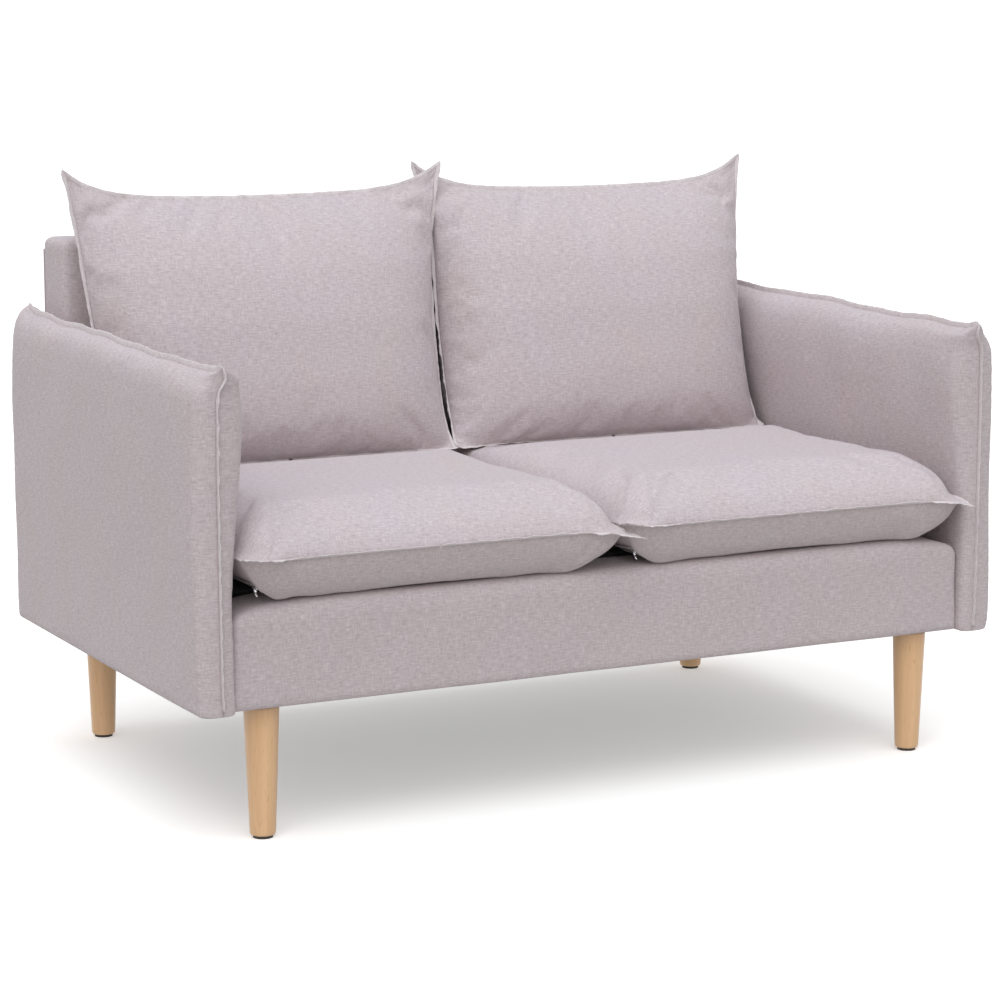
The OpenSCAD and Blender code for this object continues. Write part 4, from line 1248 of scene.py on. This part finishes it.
# %% Slider and pull
def add_slider(key, spot, way, up, side, lean):
    """A small wedge body on the teeth, wider at its nose, and a flat ring pull that hangs from it. The
    body is a stack of rounded outlines, the ring a tube carried round an oval."""
    t = np.linspace(0, 2 * np.pi, 24, endpoint=False)
    c, n = np.cos(t), np.sin(t)
    outline_along = np.sign(c) * np.abs(c) ** 0.6 * 0.0062
    outline_side = np.sign(n) * np.abs(n) ** 0.7 * (0.0042 + 0.0010 * c)
    outline = outline_along[:, None] * way + outline_side[:, None] * side
    layers = [spot + way * 0.004 + outline * size + up * height for height, size in (
        (0.0035, 0.02), (0.0035, 0.9), (0.0039, 1.0), (0.0058, 1.0), (0.0064, 0.85), (0.0066, 0.02))]
    wedge = tube(key + "_zip_slider_body", np.array(layers))
    hang = unit(np.array(lean))
    centre = spot + up * 0.0056 + hang * 0.0058
    flat = unit(np.cross(hang, side))
    line_of_ring = centre + np.outer(c * 0.0060, hang) + np.outer(n * 0.0032, side)
    outwards = np.outer(c, hang) + np.outer(n, side)
    section = np.linspace(0, 2 * np.pi, 10, endpoint=False)
    rings = (line_of_ring[:, None] + np.cos(section)[None, :, None] * outwards[:, None] * 0.0011
             + np.sin(section)[None, :, None] * flat * 0.0008)
    count, around = rings.shape[:2]
    index = np.arange(count * around).reshape(count, around)
    index = np.concatenate([index, index[:1]])
    index = np.concatenate([index, index[:, :1]], 1)
    unrolled = np.stack(np.meshgrid(np.linspace(0, 0.04, count + 1), np.linspace(0, 0.006, around + 1),
                                    indexing="ij"), -1)
    name = key + "_zip_pull_ring"
    pull = link(name, mesh_from(name, rings.reshape(-1, 3), quads(index), corners(unrolled)))
    for item, stands_for in ((wedge, key + "_zip_slider"), (pull, None)):
        belongs(item, plated, key + "_zip_pull", stands_for)
        shell = bmesh.new()
        shell.from_mesh(item.data)
        bmesh.ops.recalc_face_normals(shell, faces=shell.faces)
        shell.to_mesh(item.data)
        shell.free()


for side in ("left", "right"):
    seat_key, back_key = side + "_seat", side + "_back"
    columns = cushions[seat_key].size[1]
    add_slider(seat_key, *add_zip(seat_key, 0, 7, 10, columns - 26), (-0.15, -0.8, -0.35))
    cushion = cushions[back_key]
    rows, columns = cushion.size
    depths = cushion.points[cushion.under_index][rows // 2, :columns // 2, 1]
    lane = int(np.argmin(np.abs(depths - back_zip_depth)))
    straighten(cushion, lane, 12, rows - 12)
    add_slider(back_key, *add_zip(back_key, 1, lane, 12, rows - 12), (-1.0, 0.05, -0.15))
print("zips done")


# %% [markdown]
# ## Room and light
# A white floor that rises gently far away, as paper does behind a studio table, a white sky, and two
# wide soft lights: the main one almost straight above and a weak one from the front. Area lamps would
# fall off towards the edges of the floor, so both are suns with a very wide disc: the whole floor is
# lit evenly and the shadows stay soft.


# %% Floor, sky and lamps
wire = start("white_floor")
spot = wire.node("TexCoord", {}, {}, "Object")
dust_spots = spot.noise((3, 3, 3), 2.0, 0.5)
finish("white_floor", dust_spots.mix(rgb(0.96, 0.925, 0.89), rgb(0.98, 0.945, 0.91)), 0.8,
       Emission_Color=rgb(1.0, 1.0, 1.0), Emission_Strength=0.35)
reach = np.concatenate([-np.geomspace(60, 3, 40), np.linspace(-2.8, 2.8, 15), np.geomspace(3, 60, 40)])
floor_x, floor_y = np.meshgrid(reach, reach, indexing="ij")
away = np.clip(np.hypot(floor_x, floor_y) - 7.0, 0, None)
floor_z = np.hypot(away * 0.33, 3.0) - 3.0
floor = panel("studio_floor", np.stack([floor_x, floor_y, floor_z], -1))
floor.data.materials.append(bpy.data.materials["white_floor"])
floor.visible_diffuse = False
floor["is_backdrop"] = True

sky = bpy.data.worlds.new("white_sky")
bpy.context.scene.world = sky
sky.use_nodes = True
sky.node_tree.nodes["Background"].inputs["Color"].default_value = rgb(1.0, 1.0, 1.0)
sky.node_tree.nodes["Background"].inputs["Strength"].default_value = 0.50


def soft_sun(name, toward, strength, spread, colour):
    """A wide sun that shines along a direction, as a very large soft box far above would."""
    data = bpy.data.lights.new(name, "SUN")
    data.energy, data.angle, data.color = strength, math.radians(spread), colour
    made = bpy.data.objects.new(name, data)
    made.rotation_euler = Vector(toward).to_track_quat("-Z", "Y").to_euler()
    bpy.context.scene.collection.objects.link(made)


soft_sun("top_softbox", (0.10, 0.22, -1.0), 1.62, 70, (0.84, 0.92, 1.0))
soft_sun("front_softbox", (0.62, 0.86, -0.50), 0.98, 60, (1.0, 0.96, 0.95))
bpy.context.scene.view_settings.view_transform = "Standard"
print("light ready")


# %% [markdown]
# ## Sizes and the end
# Both boxes are put side by side in one table: the frame's own one and the one of everything shown, which is
# printed.


# %% Sizes and the end
sizes = {"cad": [list(map(float, c)) for c in cad_box], "visual": [list(map(float, c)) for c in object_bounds()]}
print("visual box:", [[round(v, 4) for v in c] for c in sizes["visual"]])
